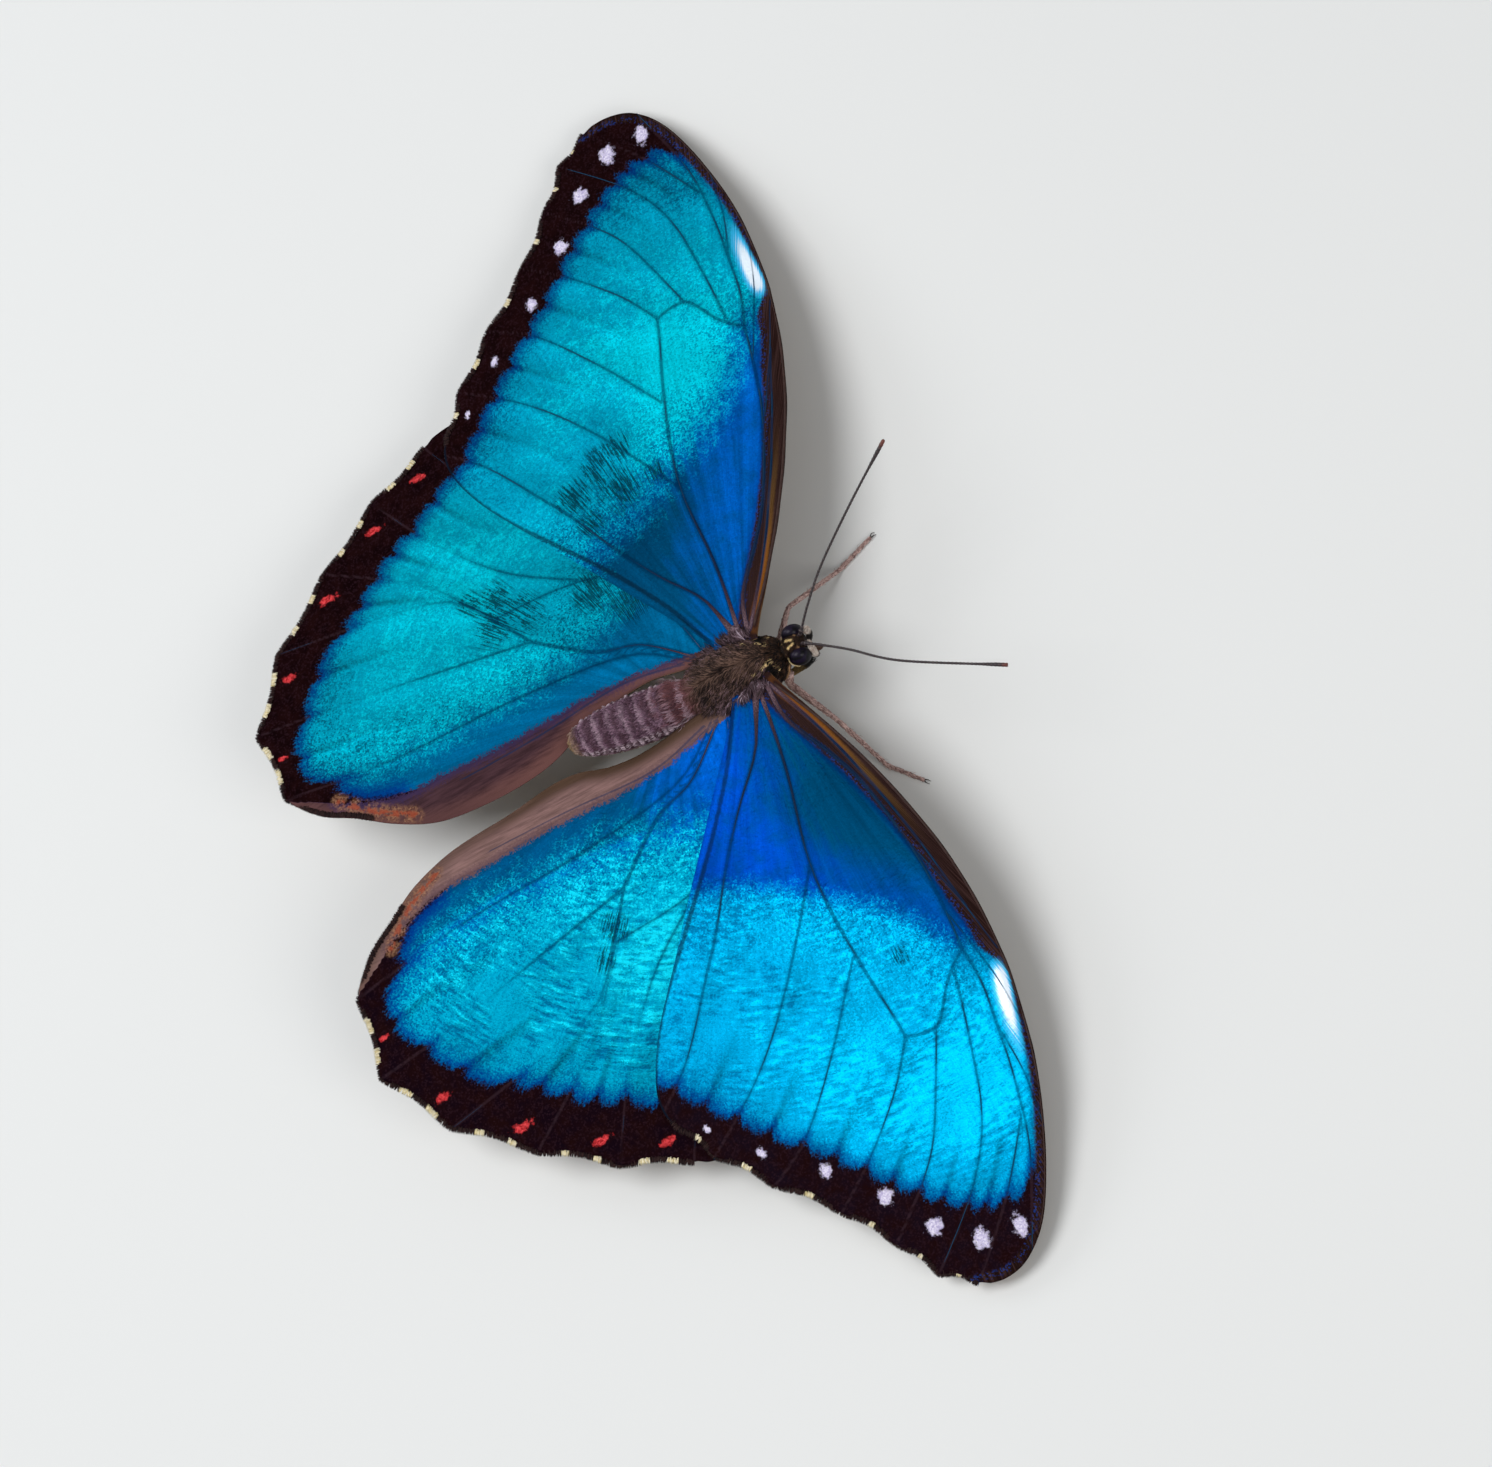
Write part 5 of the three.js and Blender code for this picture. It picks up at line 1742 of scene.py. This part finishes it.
def buildAntennae():
    material = newMaterial("antennaRings", Roughness=0.45)
    tree = material.node_tree
    place = field(tree, "place")
    along, _, _ = parts(place)
    fromTip = level(tree, "fromTip")
    ring = calc("FRACT", along / antennae["ringLength"])
    grain = noise(place, 3.0, 3)
    tone = mix(grain, colour(14, 9, 12), colour(46, 32, 36))
    tone = mix(fade(ring, 0.8, 0.98, 0, 0.5), tone, colour(104, 84, 82))
    club = fade(fromTip, 1.3, 0.4, 0, 0.8)
    tone = mix(club, tone, colour(110, 44, 28))
    dress(material, tone)
    for side, sign in sides.items():
        route = mirrored([antennae["root"], *antennae[side]], sign)
        tip = route[-1] + unit(route[-1] - route[-2]) * antennae["ringLength"]
        path = smoothCurve([*route, tip], 520)
        at = lengthsAlong(path)
        fromTip = at[-1] - at
        phase = (at / antennae["ringLength"]) % 1
        radii = antennae["radius"] * (0.82 + 0.26 * phase**2)
        club = softStep(fromTip, antennae["clubLength"], antennae["clubLength"] * 0.3)
        radii = radii + (antennae["clubRadius"] - antennae["radius"]) * club
        radii = radii * np.sqrt(np.clip(fromTip / 0.5, 0.02, 1)) * (1 + 0.9 * bump(at - 0.75, 0.42))
        shape = tube(path, radii, antennae["around"])
        shape["fields"]["fromTip"] = np.append(np.repeat(fromTip, antennae["around"]), [at[-1], 0])
        shape = joined([shape])
        addPiece(f"antenna_{side}_rings", shape, [material], (f"antenna_{side}",))


buildAntennae()
print("antennae are built")


# ---- legs

legs = {
    "midleg_left": {"hip": (1.9, -0.8, -5.1), "knee": (6, -2.8, -6.7), "heel": (9.4, -7.4), "toes": 68},
    "midleg_right": {
        "hip": (1.9, -0.8, -5.1), "knee": (7.2, -3.9, -6.1), "heel": (11.3, -5.1), "toes": 45,
    },
    "hindleg_left": {"hip": (2, 4.4, -5.1), "knee": (6.2, 9.8, -6), "heel": (8.8, 17.2), "toes": -72},
    "hindleg_right": {"hip": (2, 4.4, -5.1), "knee": (6.2, 9.8, -6), "heel": (8.8, 17.2), "toes": -72},
}
legSizes = {
    "coxa": 0.62, "femur": 0.34, "knee": 0.2, "tibia": 0.22, "ankle": 0.17, "tarsus": 0.22, "toe": 0.15,
    "tarsusLength": 4.35, "claw": 0.55, "tarsusJoints": (0.42, 0.6, 0.74, 0.86), "jointDip": 0.32,
    "bend": 0.42, "spacing": 0.06,
}
foreleg = {"route": [(0.9, -1.15, -4.5), (0.92, -1.6, -5.1), (0.85, -3.85, -4.8)], "radius": 0.27}


def legPath(leg, sign):
    hip, knee = mirrored([leg["hip"], leg["knee"]], sign)
    sole = floorLevel + legSizes["tarsus"] + 0.03
    heel = np.array([sign * leg["heel"][0], leg["heel"][1], sole])
    angle = math.radians(leg["toes"])
    ahead = np.array([sign * math.cos(angle), -math.sin(angle), 0])
    toe = heel + ahead * legSizes["tarsusLength"]
    coxa = np.array([sign * 1.15, hip[1] - 0.5, -4.25])
    return coxa, hip, knee, heel, toe, ahead


def bentPath(corners, roundness, spacing):
    # Straight runs between the corners, with each bend rounded.
    line = [corners[0]]
    for before, corner, after in zip(corners[:-2], corners[1:-1], corners[2:]):
        start = corner + unit(before - corner) * roundness
        end = corner + unit(after - corner) * roundness
        for t in np.linspace(0, 1, 9):
            line.append((1 - t) ** 2 * start + 2 * t * (1 - t) * corner + t * t * end)
    line = np.array([*line, corners[-1]])
    return evenly(line, int(lengthsAlong(line)[-1] / spacing))


def keptTufts(shape, bakeMap):
    # Only those tufts that stay above the floor.
    corners = shape["points"].reshape(-1, 7, 3)
    keep = corners[..., 2].min(1) > floorLevel + 0.005
    count = keep.sum()
    base = np.arange(count)[:, None, None] * 7
    faces = [
        (base + group[: len(group) // len(keep)]).reshape(-1, group.shape[1])
        for group in shape["faces"]
    ]
    fields = {
        key: values.reshape(len(keep), 7, *values.shape[1:])[keep].reshape(count * 7, *values.shape[1:])
        for key, values in shape["fields"].items()
    }
    kept = {"points": corners[keep].reshape(-1, 3), "faces": faces, "fields": fields}
    return kept, bakeMap.reshape(-1, 7, 2)[keep].reshape(-1, 2)


def clawShape(toe, ahead, sign):
    across = np.array([-ahead[1], ahead[0], 0]) * sign
    start = toe + across * 0.06
    bend = toe + ahead * 0.28 + across * 0.16 + [0, 0, 0.06]
    tip = toe + ahead * legSizes["claw"] + across * 0.14
    tip[2] = floorLevel + 0.03
    return tube(smoothCurve([start, bend, tip], 14), np.linspace(0.075, 0.02, 14), 8)


def buildLegs():
    rng = np.random.default_rng(51)
    legFinish = scaledMaterial("legScales", (120, 84, 80), (222, 190, 182), scale=2.2)
    brushFinish = scaledMaterial(
        "brushScales", (84, 66, 36), (132, 108, 62), (12, 8, 8), (1.5, 2.3), scale=2.6
    )
    clawFinish = scaledMaterial("clawHorn", (18, 10, 8), (52, 30, 22), roughness=0.35, scale=3)
    for name, leg in legs.items():
        sign = sides[name.split("_")[1]]
        coxa, hip, knee, heel, toe, ahead = legPath(leg, sign)
        path = bentPath([coxa, hip, knee, heel, toe], legSizes["bend"], legSizes["spacing"])
        at = lengthsAlong(path)
        _, hipEnd, kneeEnd, heelEnd, toeEnd = lengthsAlong(np.array([coxa, hip, knee, heel, toe]))
        size = legSizes
        stops = [
            0, hipEnd * 0.9, hipEnd + 1.2, kneeEnd - 0.5, kneeEnd,
            kneeEnd + 1.2, heelEnd - 0.4, heelEnd + 0.1, toeEnd,
        ]
        girths = [
            size["coxa"], size["femur"], size["femur"], size["knee"] * 1.1, size["knee"],
            size["tibia"], size["ankle"], size["tarsus"] * 0.9, size["toe"],
        ]
        reached = at / at[-1] * toeEnd
        radii = np.interp(reached, stops, girths)
        share = np.clip((reached - heelEnd) / (toeEnd - heelEnd), 0, 1)
        gap = np.min(np.abs(share[:, None] - size["tarsusJoints"]), 1) * size["tarsusLength"]
        radii = radii * np.where(share > 0, 1 - size["jointDip"] * bump(gap, 0.09), 1)
        radii = radii * np.clip((at[-1] - at) / 0.1, 0.35, 1) ** 0.5
        nodes = [f"{name}_{part}" for part in ("femur", "tibia", "tarsus")]
        addPlain(f"{name}_limb", [tube(path, radii, 18)], legFinish, nodes)
        scales, bakeMap = limbScales(
            rng, path, radii, 1500, (0.2, 0.42), (0.05, 0.1), (3, 14), stretch=(0, 0.985)
        )
        spines, spineMap = limbScales(
            rng, path, radii, 44, (0.4, 0.6), (0.035, 0.05), (30, 50), stretch=(0.42, 0.97)
        )
        kept, keptMaps = zip(keptTufts(scales, bakeMap), keptTufts(spines, spineMap))
        addPiece(f"{name}_scales", joined(kept), [legFinish], bakeMap=np.concatenate(keptMaps))
        claws = [clawShape(toe, ahead, turn) for turn in (1, -1)]
        addPlain(f"{name}_claws", claws, clawFinish)
    for side, sign in sides.items():
        path = smoothCurve(mirrored(foreleg["route"], sign), 60)
        nodes = [f"foreleg_{side}"]
        radii = foreleg["radius"] * np.sin(np.pi * np.linspace(0.12, 0.95, 60)) ** 0.6
        addPlain(f"foreleg_{side}_brush", [tube(path, radii, 14)], brushFinish, nodes)
        scales, bakeMap = limbScales(rng, path, radii, 700, (0.35, 0.7), (0.05, 0.08), (10, 26))
        addPiece(f"foreleg_{side}_hair", scales, [brushFinish], bakeMap=bakeMap)


buildLegs()
print("legs are built")


# ---- floor

def buildFloor():
    material = newMaterial("paleFloor", Roughness=0.75, Base_Color=colour(226, 227, 226))
    data = bpy.data.meshes.new("floor")
    reach = 3.0
    corners = [(-reach, -reach, 0), (reach, -reach, 0), (reach, reach, 0), (-reach, reach, 0)]
    data.from_pydata(corners, [], [(0, 1, 2, 3)])
    data.materials.append(material)
    floor = bpy.data.objects.new("floor", data)
    bpy.context.scene.collection.objects.link(floor)


buildFloor()

bpy.context.view_layer.update()
